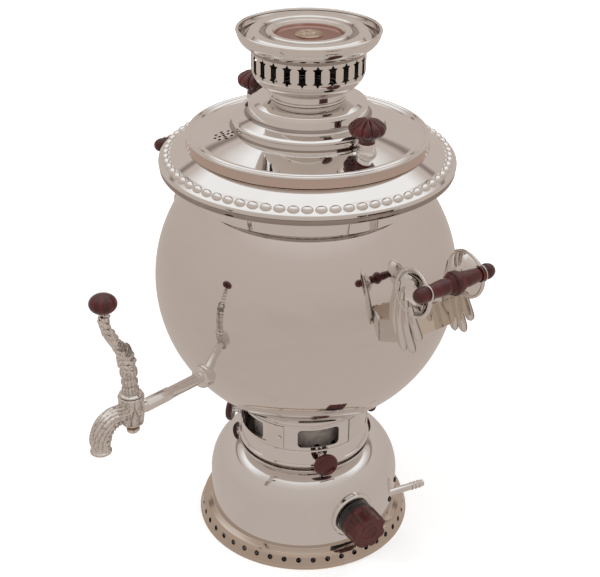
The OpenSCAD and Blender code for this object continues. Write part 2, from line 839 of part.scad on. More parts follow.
module strap(side) {
    bridge_w = 2 * ear_in;
    color("silver") difference() {
        union() {
            on_side(side) translate([bridge_at, 0, bridge_z]) rotate([0, -strap_lean, 0]) {
                translate([-leg_t, -ear_in, -strap_h / 2]) cube([leg_t, bridge_w, strap_h]);
                for (s = [-1, 1])
                    translate([-34, s * (ear_in - leg_t / 2) - leg_t / 2, -strap_h / 2])
                        cube([34, leg_t, strap_h]);
            }
            intersection() {
                difference() {
                    translate([0, 0, bowl_z]) sphere(r = bowl_r + 1.6, $fn = 160);
                    translate([0, 0, bowl_z]) sphere(r = bowl_r, $fn = 160);
                }
                on_side(side) for (s = [-1, 1])
                    translate([bowl_r - 35, s * (ear_in - foot_len / 2) - foot_len / 2, bridge_z - 20])
                        cube([50, foot_len, strap_h - 3]);
            }
        }
        translate([0, 0, bowl_z]) sphere(r = bowl_r, $fn = 160);
        rivet_places([side]) bar_x(bowl_r - 5, bowl_r + 5, rivet_r - 0.8);
    }
}

// Outline of an ear: x outwards, y up, about the grip's axis
module ear_outline() {
    foot = [bridge_at - grip_at, bridge_z - grip_z];
    waist = foot + [2.5, 19];
    head = [-16, -7];
    tips = [[-3, -3], [6, -10], [15.5, -6.5], [21, 6]];
    translate(head) circle(r = ear_head_r);
    polygon([
        head + [-ear_head_r + 2.5, -9], foot + [-7.5, 11], foot + [-5.5, -1],
        foot + [5.5, -9], foot + [16.5, -3], foot + [20.5, 9],
        foot + [13.5, 22], head + [5, -ear_head_r + 2]
    ]);
    for (q = tips) {
        tip = foot + q;
        finger = tip - waist;
        translate(tip) circle(r = 4.8);
        translate(waist) rotate(atan2(finger.y, finger.x)) translate([0, -4.2]) square([norm(finger), 8.4]);
    }
}

// Bar along the grip's axis, between two distances on side s of the handle's middle
module ear_bar(s, x, z, r, from, to) {
    translate([x, s > 0 ? to : -from, z]) rotate([90, 0, 0]) cylinder(h = to - from, r = r);
}

// Inside of a ball whose skin bulges from the ear's head towards the grip
module head_ball(s, r) {
    intersection() {
        ear_bar(s, head_x, head_z, cup_r, ear_in - 8, ear_in + ear_t + 1);
        translate([head_x, s * dome_ball_at, head_z]) sphere(r = r, $fn = 120);
    }
}

// Cast ear: flat fingers below, a cupped head and a socket for the grip's end
module ear(side, s) {
    edge = ear_in + ear_t;
    color("silver") on_side(side) difference() {
        union() {
            difference() {
                union() {
                    translate([grip_at, s * (ear_in + ear_t / 2) + ear_t / 2, grip_z]) rotate([90, 0, 0])
                        linear_extrude(height = ear_t) ear_outline();
                    intersection() {
                        head_ball(s, dome_ball_r);
                        ear_bar(s, head_x, head_z, cup_r, ear_in - 8, edge);
                    }
                }
                head_ball(s, dome_ball_r - dome_t);
            }
            ear_bar(s, grip_at, grip_z, grip_r + 1.4, ear_in - 1.2, edge);
        }
        ear_bar(s, grip_at, grip_z, grip_r - 0.3, ear_in - 8, ear_in);
        ear_bar(s, grip_at, grip_z, rod_r, ear_in - 9, edge + 1);
    }
}

module right_strap() strap(0);
module left_strap() strap(180);
module right_front_ear() ear(0, -1);
module right_rear_ear() ear(0, 1);
module left_front_ear() ear(180, -1);
module left_rear_ear() ear(180, 1);

// Solid of revolution on the grip's axis, from [[distance along, radius], ...]
module on_grip_axis(side, outline) {
    on_side(side) translate([grip_at, 0, grip_z]) rotate([0, 0, 90]) turned_x(outline);
}

module grip(side) {
    color([0.33, 0.1, 0.09]) difference() {
        on_grip_axis(side, [
            [-ear_in, grip_r - 1.2], [-ear_in + 6, grip_r - 0.6], [-6, grip_r], [-4.6, grip_r + 1.6],
            [-3, grip_r + 1.4], [-2.4, grip_ring_r], [2.4, grip_ring_r], [3, grip_r + 1.4],
            [4.6, grip_r + 1.6], [6, grip_r], [ear_in - 6, grip_r - 0.6], [ear_in, grip_r - 1.2]
        ]);
        on_side(side) translate([grip_at, 60, grip_z]) rotate([90, 0, 0]) cylinder(h = 120, r = rod_r);
    }
}

module right_grip() grip(0);
module left_grip() grip(180);

module tie_rods() {
    reach = ear_in + ear_t + finial_len - 5;
    color("lightgray") for (side = [0, 180]) on_side(side)
        translate([grip_at, reach, grip_z]) rotate([90, 0, 0]) cylinder(h = 2 * reach, r = rod_r);
}

module grip_finials() {
    foot = ear_in + ear_t;
    color([0.33, 0.1, 0.09]) for (side = [0, 180], s = [0, 180])
        on_side(side) translate([grip_at, 0, grip_z]) rotate([0, 0, 90 + s]) difference() {
            turned_x([
                [foot, 4.6], [foot + 1, 6.2], [foot + 2.6, 6.2], [foot + 3.4, 5],
                [foot + 0.6 * finial_len, 5], [foot + 0.9 * finial_len, 3.2], [foot + finial_len, 0.01]
            ]);
            bar_x(foot - 1, foot + finial_len - 5, rod_r);
        }
}

module strap_rivets() {
    color("silver") rivet_places() {
        bar_x(bowl_r - sheet - 0.2, bowl_r + 1.7, rivet_r - 0.8);
        turned_x([[bowl_r + 1.65, rivet_r], [bowl_r + 2.4, rivet_r - 0.5], [bowl_r + 2.8, 0.8]]);
    }
}

// ---- lid ----

lid_line = [
    [lid_r + 1.5, lid_z], [lid_r, lid_top_z], [lid_r + 1, lid_top_z + 0.8], [lid_r + 1, lid_top_z + 1.8],
    [lid_r, lid_top_z + 2.7], [lid_r - 1.6, lid_top_z + 2.7], [lid_r - 2.8, lid_top_z + 1.6],
    [lid_r - 4, lid_top_z + 2.6], [lid_r - 5.4, lid_top_z + 2.6], [lid_rise_r + 1.2, lid_top_z + 1.6],
    [lid_rise_r, lid_top_z + 1.4], [step_r - 4, step_foot_z + 4 * lid_slope]
];

// Everything below the lid plate's outer face
module under_lid() {
    rotate_extrude() polygon(concat([[0, lid_z - 40], [lid_r, lid_z - 40]], lid_line, [[0, lid_line[11].y]]));
}

module lid_plate() {
    color("silver") difference() {
        spun(lid_line);
        steam_places() cylinder(h = 60, r = steam_hole_d / 2, center = true);
        for (a = [0, 180]) rotate([0, 0, side_turn + 1.5 + a]) translate([lid_knob_at, 0, lid_z])
            cylinder(h = 30, r = 2.5);
    }
}

// Places children at each steam hole: one in the middle, an inner and an outer round
module steam_places() {
    rotate([0, 0, rosette_turn]) translate([rosette_at, 0, lid_top_z]) {
        children();
        for (i = [0 : 3]) rotate([0, 0, 90 * i]) translate([rosette_r / 2, 0, 0]) children();
        for (i = [0 : steam_holes - 1]) rotate([0, 0, (i + 0.5) * 360 / steam_holes])
            translate([rosette_r, 0, 0]) children();
    }
}

module lid_steps() {
    line = [
        [step_r, step_foot_z - 2], [step_r, step_foot_z + 4.6], [step_r + 0.9, step_foot_z + 5.6],
        [step_r + 0.6, step_foot_z + 7], [step_r - 1.4, step_foot_z + 8.4], [step_top_r + 1, step_foot_z + 11.4],
        [step_top_r, step_foot_z + 13], [step_top_r, step_top_z - 6], [step_top_r - 1.6, step_top_z - 3.2],
        [step_top_r - 5.5, step_top_z - 1.4], [lid_neck_r + 5.6, step_top_z - 0.3], [lid_neck_r + run, step_top_z]
    ];
    color("silver") difference() {
        spun(line);
        under_lid();
    }
}

module lid_neck() {
    seat = crown_z - gap;
    line = [[lid_neck_r, step_top_z - 6], [lid_neck_r, seat], [spigot_r, seat], [spigot_r, seat + 5]];
    color("silver") {
        spun(line);
        tube(lid_neck_r + 2.4, lid_neck_r - 0.4, step_top_z, step_top_z + 1.8);
    }
}

// Places children at both lid knobs
module at_lid_knobs() {
    for (a = [0, 180]) rotate([0, 0, side_turn + 1.5 + a]) translate([lid_knob_at, 0, 0]) children();
}

module lid_knob_stems() {
    color("silver") {
        difference() {
            at_lid_knobs() rotate_extrude() polygon([
                [0, lid_z], [stem_r + 1.2, lid_z], [stem_r + 1.2, step_foot_z - 1], [stem_r, step_foot_z + 0.6],
                [stem_r, stem_top - 1], [stem_r - 0.8, stem_top], [0, stem_top]
            ]);
            under_lid();
        }
        at_lid_knobs() translate([0, 0, lid_top_z + 1.5]) cylinder(h = stem_top - lid_top_z - 2.5, r = 2.5);
    }
}

module lid_knobs() {
    color([0.33, 0.1, 0.09]) at_lid_knobs() rotate_extrude() polygon(concat(
        [[0, stem_top], [stem_r, stem_top], [stem_r - 0.6, stem_top + 2], [stem_r + 0.6, stem_top + 4]],
        arc([0, knob_mid], [lid_knob_r, 8.5], -50, 90, 12)
    ));
}

// ---- crown and top plate ----

module crown() {
    line = concat(
        [[crown_foot_r, crown_z]],
        [for (i = [0 : 6]) cup(i / 6)],
        [for (i = [0 : 6]) flare(i / 6)]
    );
    rim_z = crown_z + crown_h;
    color("silver") difference() {
        union() {
            spun(line);
            rotate_extrude() polygon(arc([crown_rim_r - 1, rim_z - 0.6], [1.5, 1.5], 0, 337.5, 15));
        }
        for (i = [0 : motifs - 1]) rotate([0, 0, (i + 0.5) * 360 / motifs])
            translate([crown_r - 5, 0, motif_z]) rotate([90, 0, 90]) linear_extrude(height = 10) motif();
    }
}

// Pierced motif: a star over an inverted star, joined by a waist
module motif() {
    high = 5;
    translate([0, high]) star(3.9, 1.9, 5);
    translate([0, -high]) rotate(180) star(3.9, 1.9, 5);
    square([2.6, 2 * high], center = true);
}

// Star with n points, the first one upwards
module star(outer, inner, n) {
    polygon([
        for (i = [0 : 2 * n - 1])
            let (r = i % 2 == 0 ? outer : inner, a = 90 + i * 180 / n)
            r * [cos(a), sin(a)]
    ]);
}

module top_plate() {
    z = plate_z0;
    up = plate_up;
    low = plate_flat_r;
    line = [
        [0, z + 0.4], [low, z + 0.4], [low + 2.5, z + up], [low + 6.5, z + up], [low + 9, z + up - plate_groove],
        [low + 11.5, z + up - plate_groove], [low + 13.5, z + up], [low + 20.5, z + up], [low + 23, z + 0.6 * up],
        [plate_r - 2, z], [plate_r, z + 0.6]
    ];
    color("silver") spun(line);
}

module top_ornament() {
    z = plate_z0 + 0.4 + sheet;
    color([0.75, 0.62, 0.45]) {
        difference() {
            translate([0, 0, z]) cylinder(h = 0.8, r = 11.5);
            translate([0, 0, z + 0.4]) cylinder(h = 1, r = 10.2);
        }
        for (i = [0 : 7]) rotate([0, 0, 45 * i]) translate([4.4, 0, z + 0.4])
            cylinder(h = 0.9, r = 1.7, $fn = 24);
    }
}

base_foot_ring();
base_dome();
base_plate();
upstand_ring();
knob_bezel();
valve_body();
inlet_tail();
inlet_screws();
gas_pipe();
injector();
mixing_tube();
burner_head();
burner_cap();
flame_guard();
valve_spindle();
knob_skirt();
gas_knob();
neck_skirt();
neck_collar();
shutter_band();
shutter_pin();
screw_stem_front();
screw_head_front();
screw_stem_right();
screw_head_right();
screw_stem_left();
screw_head_left();
bowl();
flue_tube();
mouth_flange();
tap_collar();
tap_seal();
tap_back_nut();
tap_body();
tap_plug();
tap_nut();
tap_lever();
tap_knob();
right_strap();
left_strap();
right_front_ear();
right_rear_ear();
left_front_ear();
left_rear_ear();
right_grip();
left_grip();
tie_rods();
grip_finials();
strap_rivets();
lid_plate();
lid_steps();
lid_neck();
lid_knob_stems();
lid_knobs();
crown();
top_plate();
top_ornament();
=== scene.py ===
# %% [markdown]
# A table samovar: a ball of polished sheet full of water stands on a neck and a domed base,
# where a gas burner heats it through a flue up the middle. The plain frame from the CAD model is
# loaded first. Every piece made below sits in that frame, in metres, so nothing has to be fitted
# afterwards.

# %% Load the frame
import json
import math
import bmesh
import bpy
import numpy as np
from mathutils import Matrix, Vector

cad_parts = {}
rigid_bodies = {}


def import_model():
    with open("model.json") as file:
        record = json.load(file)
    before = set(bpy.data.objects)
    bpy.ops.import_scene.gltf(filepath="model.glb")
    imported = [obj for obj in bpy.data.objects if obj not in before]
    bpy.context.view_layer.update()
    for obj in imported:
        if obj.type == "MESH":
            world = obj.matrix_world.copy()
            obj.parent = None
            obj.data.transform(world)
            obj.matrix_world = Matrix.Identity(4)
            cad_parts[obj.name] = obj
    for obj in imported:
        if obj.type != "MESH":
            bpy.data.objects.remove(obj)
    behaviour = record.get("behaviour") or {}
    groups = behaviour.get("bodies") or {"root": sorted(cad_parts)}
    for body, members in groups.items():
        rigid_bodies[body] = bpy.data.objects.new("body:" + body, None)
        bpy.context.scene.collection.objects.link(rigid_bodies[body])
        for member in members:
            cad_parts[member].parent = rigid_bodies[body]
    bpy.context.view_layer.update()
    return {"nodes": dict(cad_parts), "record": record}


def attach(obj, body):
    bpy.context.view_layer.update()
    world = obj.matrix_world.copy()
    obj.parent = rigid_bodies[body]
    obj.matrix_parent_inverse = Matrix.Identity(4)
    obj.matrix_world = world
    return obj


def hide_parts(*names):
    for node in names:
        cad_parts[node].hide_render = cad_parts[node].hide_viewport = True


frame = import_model()
nodes = frame["nodes"]


scene = bpy.context.scene
scene.view_settings.view_transform = "Standard"

# %% [markdown]
# All sizes below are in millimetres, as on a drawing, and become metres when a mesh is made. Half
# of this object is spun sheet: a disc is pressed against a turning form until it takes the form's
# shape. A lathe function does the same here. It takes the half outline, rounds its corners as the
# roller would, gives it the sheet's thickness and turns it round.

# %% Lathe helpers
MM = 0.001


def arc(centre, radii, start, end, steps=8):
    """Points (radius, height) on part of an ellipse, angles in degrees."""
    angles = np.radians(np.linspace(start, end, steps + 1))
    return [(centre[0] + radii[0] * math.cos(a), centre[1] + radii[1] * math.sin(a)) for a in angles]


def rounded(line, radius=0.5, steps=3):
    """The line with its corners rounded; a point's third number is its own corner radius."""
    points = [Vector(p[:2]) for p in line]
    out = [points[0]]
    for k in range(1, len(points) - 1):
        before, here, after = points[k - 1], points[k], points[k + 1]
        a, b = (before - here), (after - here)
        turn = a.angle(b, math.pi)
        reach = (line[k][2] if len(line[k]) > 2 else radius) / max(math.tan(turn / 2), 1e-6)
        reach = min(reach, 0.45 * a.length, 0.45 * b.length)
        if turn > math.radians(176) or reach < 0.01:
            out.append(here)
            continue
        first, last = here + a.normalized() * reach, here + b.normalized() * reach
        for i in range(steps + 1):
            u = i / steps
            out.append(first * (1 - u) ** 2 + here * 2 * u * (1 - u) + last * u * u)
    out.append(points[-1])
    return [(p.x, p.y) for p in out]


def walled(line, thickness):
    """A closed outline: the line, and back along it on its left at the sheet's thickness."""
    points = [Vector(p[:2]) for p in line]
    back = []
    for k, here in enumerate(points):
        a = (here - points[k - 1]) if k else (points[1] - here)
        b = (points[k + 1] - here) if k < len(points) - 1 else a
        a, b = a.normalized(), b.normalized()
        left = Vector((-a.y - b.y, a.x + b.x))
        back.append(here + left * thickness / max(1 + a.dot(b), 0.3))
    return [tuple(p) for p in points] + [(max(p.x, 0.0), p.y) for p in reversed(back)]


def smooth(mesh, angle=32):
    """Smooth shading, with edges sharper than the angle left sharp."""
    mesh.polygons.foreach_set("use_smooth", [True] * len(mesh.polygons))
    mesh.set_sharp_from_angle(angle=math.radians(angle))


def new_piece(name, verts, faces, material=None, angle=32, merge=True):
    """A mesh object from millimetre points, with doubles merged and faces turned outwards."""
    mesh = bpy.data.meshes.new(name)
    mesh.from_pydata([Vector(v) * MM for v in verts], [], faces)
    work = bmesh.new()
    work.from_mesh(mesh)
    if merge:
        bmesh.ops.remove_doubles(work, verts=work.verts, dist=1e-6)
        bmesh.ops.dissolve_degenerate(work, edges=work.edges, dist=1e-7)
    bmesh.ops.recalc_face_normals(work, faces=work.faces)
    work.to_mesh(mesh)
    work.free()
    smooth(mesh, angle)
    piece = bpy.data.objects.new(name, mesh)
    scene.collection.objects.link(piece)
    if material:
        mesh.materials.append(material)
    return piece


def turned(name, outline, material=None, around=256, angle=32, shape=None):
    """A turned solid. `shape` may move a point: it takes radius, height and angle."""
    n = len(outline)
    verts, faces = [], []
    for j in range(around):
        a = 2 * math.pi * j / around
        for r, z in outline:
            if shape:
                r, z = shape(r, z, a)
            verts.append((r * math.cos(a), r * math.sin(a), z))
        k = (j + 1) % around
        for i in range(n):
            m = (i + 1) % n
            if max(outline[i][0], outline[m][0]) >= 1e-6:
                faces.append((j * n + i, k * n + i, k * n + m, j * n + m))
    return new_piece(name, verts, faces, material, angle)


def moved(piece, matrix):
    """Moves the mesh itself, so that the object stays at the origin."""
    piece.data.transform(matrix)
    return piece


def shifted(piece, x, y, z=0.0):
    """Moves the mesh by millimetres."""
    return moved(piece, Matrix.Translation(Vector((x, y, z)) * MM))


def swung(piece, degrees):
    """Swings the mesh round the samovar's axis."""
    return moved(piece, Matrix.Rotation(math.radians(degrees), 4, "Z"))


def pose(place, along):
    """The matrix that stands a piece's +Z along a direction at a place in millimetres."""
    aim = Vector((0, 0, 1)).rotation_difference(Vector(along).normalized()).to_matrix().to_4x4()
    return Matrix.Translation(Vector(place) * MM) @ aim


def joined(name, pieces, material=None):
    """Several meshes made into one."""
    work = bmesh.new()
    for piece in pieces:
        work.from_mesh(piece.data)
    mesh = bpy.data.meshes.new(name)
    work.to_mesh(mesh)
    work.free()
    finishes = [material] if material else list(pieces[0].data.materials)
    for piece in pieces:
        old = piece.data
        bpy.data.objects.remove(piece)
        bpy.data.meshes.remove(old)
    out = bpy.data.objects.new(name, mesh)
    scene.collection.objects.link(out)
    for finish in finishes:
        mesh.materials.append(finish)
    return out


def polar(degrees, radius, z=0.0):
    """A point at an angle and a radius round the samovar's axis."""
    return (radius * math.cos(math.radians(degrees)), radius * math.sin(math.radians(degrees)), z)


def held(value):
    """The value, held between 0 and 1."""
    return min(max(value, 0), 1)


# %% [markdown]
# The camera stands a little over a metre away, well above the lid, and looks down by 28 degrees. A
# long lens keeps the ball round.

# %% Camera
camera_place = Vector((0.6844, -0.7211, 0.7773))
heading, tilt, roll = math.radians(133.808), math.radians(28.28), math.radians(-0.578)
forward = Vector((math.cos(heading) * math.cos(tilt), math.sin(heading) * math.cos(tilt), -math.sin(tilt)))
level = forward.cross(Vector((0, 0, 1))).normalized()
down = forward.cross(level)
right = level * math.cos(roll) + down * math.sin(roll)
low = down * math.cos(roll) - level * math.sin(roll)
camera_data = bpy.data.cameras.new("camera")
camera_data.lens, camera_data.sensor_width = 74.6, 36.0
camera = bpy.data.objects.new("camera", camera_data)
camera.matrix_world = Matrix.Translation(camera_place) @ Matrix((right, -low, -forward)).transposed().to_4x4()
scene.collection.objects.link(camera)
scene.camera = camera
print("camera at", [round(c, 3) for c in camera_place])

# %% [markdown]
# Node trees are written here as Python sums. `Wire` holds one socket and turns `a * 2 + b` into Math
# nodes. `Graph` adds any other node, sets its settings first and then fills its sockets. The same
# two small classes serve the materials and the Geometry Nodes trees.

# %% Node helpers
class Wire:
    """A socket that Python can calculate with."""

    def __init__(self, graph, socket):
        self.graph, self.socket = graph, socket

    def sum(self, operation, *values):
        return self.graph.node("ShaderNodeMath", {"operation": operation}, dict(enumerate(values)))

    def __add__(self, other): return self.sum("ADD", self, other)
    def __radd__(self, other): return self.sum("ADD", other, self)
    def __sub__(self, other): return self.sum("SUBTRACT", self, other)
    def __rsub__(self, other): return self.sum("SUBTRACT", other, self)
    def __mul__(self, other): return self.sum("MULTIPLY", self, other)
    def __rmul__(self, other): return self.sum("MULTIPLY", other, self)
    def __truediv__(self, other): return self.sum("DIVIDE", self, other)
    def root(self): return self.sum("SQRT", self)
    def most(self, other): return self.sum("MAXIMUM", self, other)

    def between(self, low, high, start=0.0, end=1.0):
        """Maps low..high to start..end and holds it there."""
        return self.graph.node("ShaderNodeMapRange", {"clamp": True}, {
            "Value": self, "From Min": low, "From Max": high, "To Min": start, "To Max": end})


class Graph:
    """A node tree, and the one method that adds a node to it."""

    def __init__(self, tree):
        self.tree = tree

    def feed(self, socket, value):
        if isinstance(value, Wire):
            self.tree.links.new(value.socket, socket)
        else:
            socket.default_value = value

    def node(self, kind, settings=None, inputs=None, out=0):
        made = self.tree.nodes.new(kind)
        for key, value in (settings or {}).items():
            if key == "stops":
                while len(made.color_ramp.elements) < len(value):
                    made.color_ramp.elements.new(0.5)
                for element, (at, colour) in zip(made.color_ramp.elements, value):
                    element.position, element.color = at, (*colour, 1.0)
            else:
                setattr(made, key, value)
        for key, value in (inputs or {}).items():
            self.feed(made.inputs[key], value)
        return Wire(self, made.outputs[out])


class Finish(Graph):
    """A material: its Principled shader's sockets are set by name. A bare one starts empty."""

    def __init__(self, name, bare=False, **plain):
        self.material = bpy.data.materials.new(name)
        self.material.use_nodes = True
        super().__init__(self.material.node_tree)
        if bare:
            self.tree.nodes.clear()
        else:
            self.shader = self.tree.nodes["Principled BSDF"]
        self.place = self.node("ShaderNodeTexCoord", out="Object")
        for key, value in plain.items():
            self.set(key.replace("_", " "), value)

    def set(self, socket, value):
        self.feed(self.shader.inputs[socket], value)

    def noise(self, scale, detail=3.0, rough=0.5, where=None, twist=0.0):
        return self.node("ShaderNodeTexNoise", {"noise_dimensions": "3D"}, {
            "Vector": where or self.place, "Scale": scale, "Detail": detail,
            "Roughness": rough, "Distortion": twist})

    def stretched(self, scale):
        """Object coordinates stretched by a factor for each axis."""
        return self.node("ShaderNodeVectorMath", {"operation": "MULTIPLY"}, {0: self.place, 1: scale})

    def axes(self):
        """The x, y and z of the object coordinates."""
        split = self.node("ShaderNodeSeparateXYZ", None, {0: self.place}).socket.node
        return [Wire(self, split.outputs[k]) for k in range(3)]

    def vector(self, x, y, z):
        return self.node("ShaderNodeCombineXYZ", None, {0: x, 1: y, 2: z})

    def mix(self, share, first, second):
        return self.node("ShaderNodeMix", {"data_type": "RGBA"}, {0: share, 6: first, 7: second}, out=2)

    def bump(self, height, distance, strength=1.0, under=None):
        inputs = {"Height": height, "Distance": distance, "Strength": strength}
        if under:
            inputs["Normal"] = under
        return self.node("ShaderNodeBump", None, inputs)

    def shine(self, colour, strength=1.0):
        return self.node("ShaderNodeEmission", None, {"Color": colour, "Strength": strength})

    def show(self, shader):
        """Makes a bare material show this shader."""
        self.feed(self.tree.nodes.new("ShaderNodeOutputMaterial").inputs["Surface"], shader)
        return self.material


def rgb(red, green, blue):
    """A colour given as seen on a screen, 0 to 255, made linear for the shader."""
    def line(c):
        c /= 255
        return c / 12.92 if c <= 0.04045 else ((c + 0.055) / 1.055) ** 2.4
    return (line(red), line(green), line(blue), 1.0)

# %% [markdown]
# Polished sheet is a mirror with faults. It shows very fine rings from the polishing wheel, faint
# wiping smudges where the mirror turns a little dull, and a slow waviness that bends straight
# reflections. The rings follow the turning, so they are noise read on radius and height only. The
# faults stay small, because a strong bump would break the reflections up. Bands of colour can lie on
# a ring between two radii and two heights: most are painted shade in hollows and corners and under
# edges, some are painted reflections of brown surroundings, and one makes the pot plate's middle brown.

# %% Polished metal
def polished(name, colour, wave=0.00006, smudge=0.05, shade_and_colour_bands=()):
    """Mirror-polished sheet; a colour band is (inner radius, outer radius, low, high, colour), in mm, and is mostly
    painted shade and painted reflection.
    """
    metal = Finish(name, Metallic=1.0, Base_Color=colour)
    x, y, z = metal.axes()
    radius = (x * x + y * y).root()
    turning = metal.noise(420, 2, 0.6, metal.vector(radius, z, 0.0))
    cloth = metal.noise(9, 4, 0.6, metal.stretched((1, 1, 2.2)), 0.6)
    smear = metal.noise(34, 3, 0.55, metal.stretched((1, 1, 0.5)))
    film = cloth.between(0.5, 0.78)
    metal.set("Roughness", 0.035 + film * smudge + turning * 0.02 + smear.between(0.55, 0.8) * 0.02)
    shade = metal.mix(film * 0.6, colour, (*(c * 0.9 for c in colour[:3]), 1.0))
    # Each band paints its colour on a ring: painted shade, painted reflections and the pot plate's brown middle.
    for inner, outer, low, high, band_colour in shade_and_colour_bands:
        across = radius.between((inner - 0.4) * MM, inner * MM)
        across = across * radius.between(outer * MM, (outer + 0.8) * MM, 1.0, 0.0)
        level = z.between((low - 0.3) * MM, low * MM) * z.between(high * MM, (high + 0.8) * MM, 1.0, 0.0)
        shade = metal.mix(across * level * smear.between(0.2, 0.45, 0.75, 1.0), shade, (*band_colour, 1.0))
    metal.set("Base Color", shade)
    slow = metal.noise(7.5, 1, 0.4)
    fine = metal.bump(turning, 0.000004, 0.25)
    metal.set("Normal", metal.bump(slow, wave, 0.5, fine))
    return metal.material


sheet_bowl = polished("bowl_sheet", (0.80, 0.76, 0.735, 1.0), wave=0.0001)
sheet_base = polished("base_sheet", (0.83, 0.815, 0.805, 1.0), wave=0.0001, shade_and_colour_bands=[
    (90.5, 103, 0.5, 16.5, (0.62, 0.53, 0.45)),       # the foot ring: painted reflection of brown surroundings
    (58, 62, 84, 87.5, (0.56, 0.50, 0.46))])          # painted shadow under the neck's skirt
sheet_lid = polished("lid_sheet", (0.84, 0.82, 0.80, 1.0), shade_and_colour_bands=[
    (101.9, 105, 386, 392.6, (0.66, 0.54, 0.475)),    # the lid's wall: painted reflection of the flange and brown surroundings
    (126.2, 127.2, 365.5, 369.6, (0.4, 0.35, 0.32)),  # painted shade in the flange's hollow edge
    (50, 53.5, 412.2, 414.0, (0.35, 0.3, 0.28)),      # painted shade at the upper step's foot
    (63, 66, 398, 401.5, (0.4, 0.34, 0.3))])          # painted shade at the lower step's foot
sheet_crown = polished("crown_sheet", (0.82, 0.79, 0.76, 1.0), smudge=0.08, shade_and_colour_bands=[
    (-1, 28.4, 476, 480.5, (0.34, 0.15, 0.115)),      # the plate's middle, made brown
    (35.6, 40.2, 476, 481.5, (0.42, 0.36, 0.33)),     # painted shade in the plate's sunken ring
    (52.6, 57, 476, 480.5, (0.3, 0.25, 0.22)),        # painted shade at the plate's edge
    (47, 49.6, 466.8, 471.5, (0.4, 0.35, 0.32))])     # painted shade at the drum's top, under the flare
print("polished sheets:", [m.name for m in (sheet_bowl, sheet_base, sheet_lid, sheet_crown)])

# %% [markdown]
# The ears, straps and the tap are castings under bright plating. A casting is never as flat as
# sheet: its skin is softly uneven, and in its hollows the polishing wheel never arrived, so they
# stay duller. Noise stands in for the uneven skin, and the Pointiness of Geometry is left alone
# because it can't be baked. The hollows get painted shade from a colour attribute that the mesh code
# writes. On the tap, random dark speckles are painted in as well, standing in for its small dark
# reflections.

# %% Plated castings
def plated(name, colour, rough=0.07, grain=0.00012, hollow=None, speckle_shade=0.0):
    """Bright plating over a casting; `hollow` names the mesh attribute that holds the painted shade of its grooves."""
    metal = Finish(name, Metallic=1.0, Base_Color=colour)
    skin = metal.noise(160, 3, 0.55)
    broad = metal.noise(38, 2, 0.5)
    dull = metal.noise(60, 4, 0.65).between(0.5, 0.8)
    shade = metal.mix(dull * 0.4, colour, (colour[0] * 0.8, colour[1] * 0.77, colour[2] * 0.73, 1.0))
    level = 0.0
    if hollow:
        deep = metal.node("ShaderNodeAttribute", {"attribute_name": hollow}, out="Fac")
        # Painted shade: the hollows are darkened towards near black.
        shade = metal.mix(deep, shade, (0.09, 0.075, 0.06, 1.0))
        level = deep * 0.25
    # Painted dark speckles, standing in for the tap's small dark reflections.
    if speckle_shade:
        dark_speckles = metal.noise(560, 2, 0.6, twist=0.4).between(0.5, 0.66)
        shade = metal.mix(dark_speckles * speckle_shade, shade, (0.09, 0.07, 0.06, 1.0))
    metal.set("Base Color", shade)
    metal.set("Roughness", rough + dull * 0.09 + level)
    metal.set("Normal", metal.bump(broad, grain * 2, 0.5, metal.bump(skin, grain * 0.35, 0.5)))
    return metal.material


casting = plated("plated_casting", (0.80, 0.77, 0.74, 1.0), hollow="groove")
tap_metal = plated("plated_tap", (0.84, 0.80, 0.76, 1.0), rough=0.05, grain=0.0006, hollow="groove", speckle_shade=0.45)
bright_turned = plated("bright_turned", (0.83, 0.81, 0.79, 1.0), rough=0.04, grain=0.00003)
nut_metal = plated("browned_nut", (0.26, 0.17, 0.11, 1.0), rough=0.12, grain=0.00003)
bridge_metal = plated("bridge_plating", (0.74, 0.67, 0.58, 1.0), rough=0.05, grain=0.00025)

# %% [markdown]
# The knobs and grips are moulded phenolic resin, a dark red-brown with cloudy streaks from the
# powder it is pressed from. Its gloss is soft: a clear skin over a slightly duller body, with faint
# handling marks. Two noises give the clouds, the second one pulled long so that it reads as flow.

# %% Moulded resin
def moulded(name, dark, light, rough=0.2):
    """Pressed phenolic resin with cloudy flow streaks."""
    resin = Finish(name, Coat_Weight=0.35, Coat_Roughness=0.04, Specular_IOR_Level=0.4)
    flow = resin.noise(55, 5, 0.6, resin.stretched((1, 1, 0.35)), 1.5)
    speck = resin.noise(495, 2, 0.6)
    cloud = flow.between(0.4, 0.68)
    resin.set("Base Color", resin.mix(cloud, dark, light))
    handled = resin.noise(90, 3, 0.6).between(0.5, 0.75)
    resin.set("Roughness", rough + handled * 0.1 + speck * 0.04)
    resin.set("Normal", resin.bump(speck, 0.00004, 0.25))
    return resin.material


resin = moulded("red_brown_resin", rgb(60, 13, 14), rgb(90, 26, 25))
black_resin = moulded("black_resin", rgb(16, 14, 15), rgb(30, 27, 28), 0.16)

# %% [markdown]
# Inside the closed base and the neck sit plain working parts: yellow brass that has dulled, grey
# cast iron that heat has darkened, plain steel with a drawn grain, and a rubber washer behind the
# tap. They are seen only through the windows and from below, but they get finishes of their own.
# The flame turns sheet near it grey. The faces inside the guard, the sleeve and the crown are darkened as painted
# shade.

# %% Working metals and rubber
def working(name, colour, stain, metallic=1.0, rough=0.35, scale=70, grain=0.0001):
    """A plain working surface: a colour, a stain over it and a fine grain."""
    body = Finish(name, Metallic=metallic)
    patch = body.noise(scale, 5, 0.65, twist=0.5).between(0.42, 0.7)
    grit = body.noise(scale * 11, 2, 0.6)
    body.set("Base Color", body.mix(patch, colour, stain))
    body.set("Roughness", rough + patch * 0.15 + grit * 0.08)
    body.set("Normal", body.bump(grit, grain, 0.5))
    return body.material


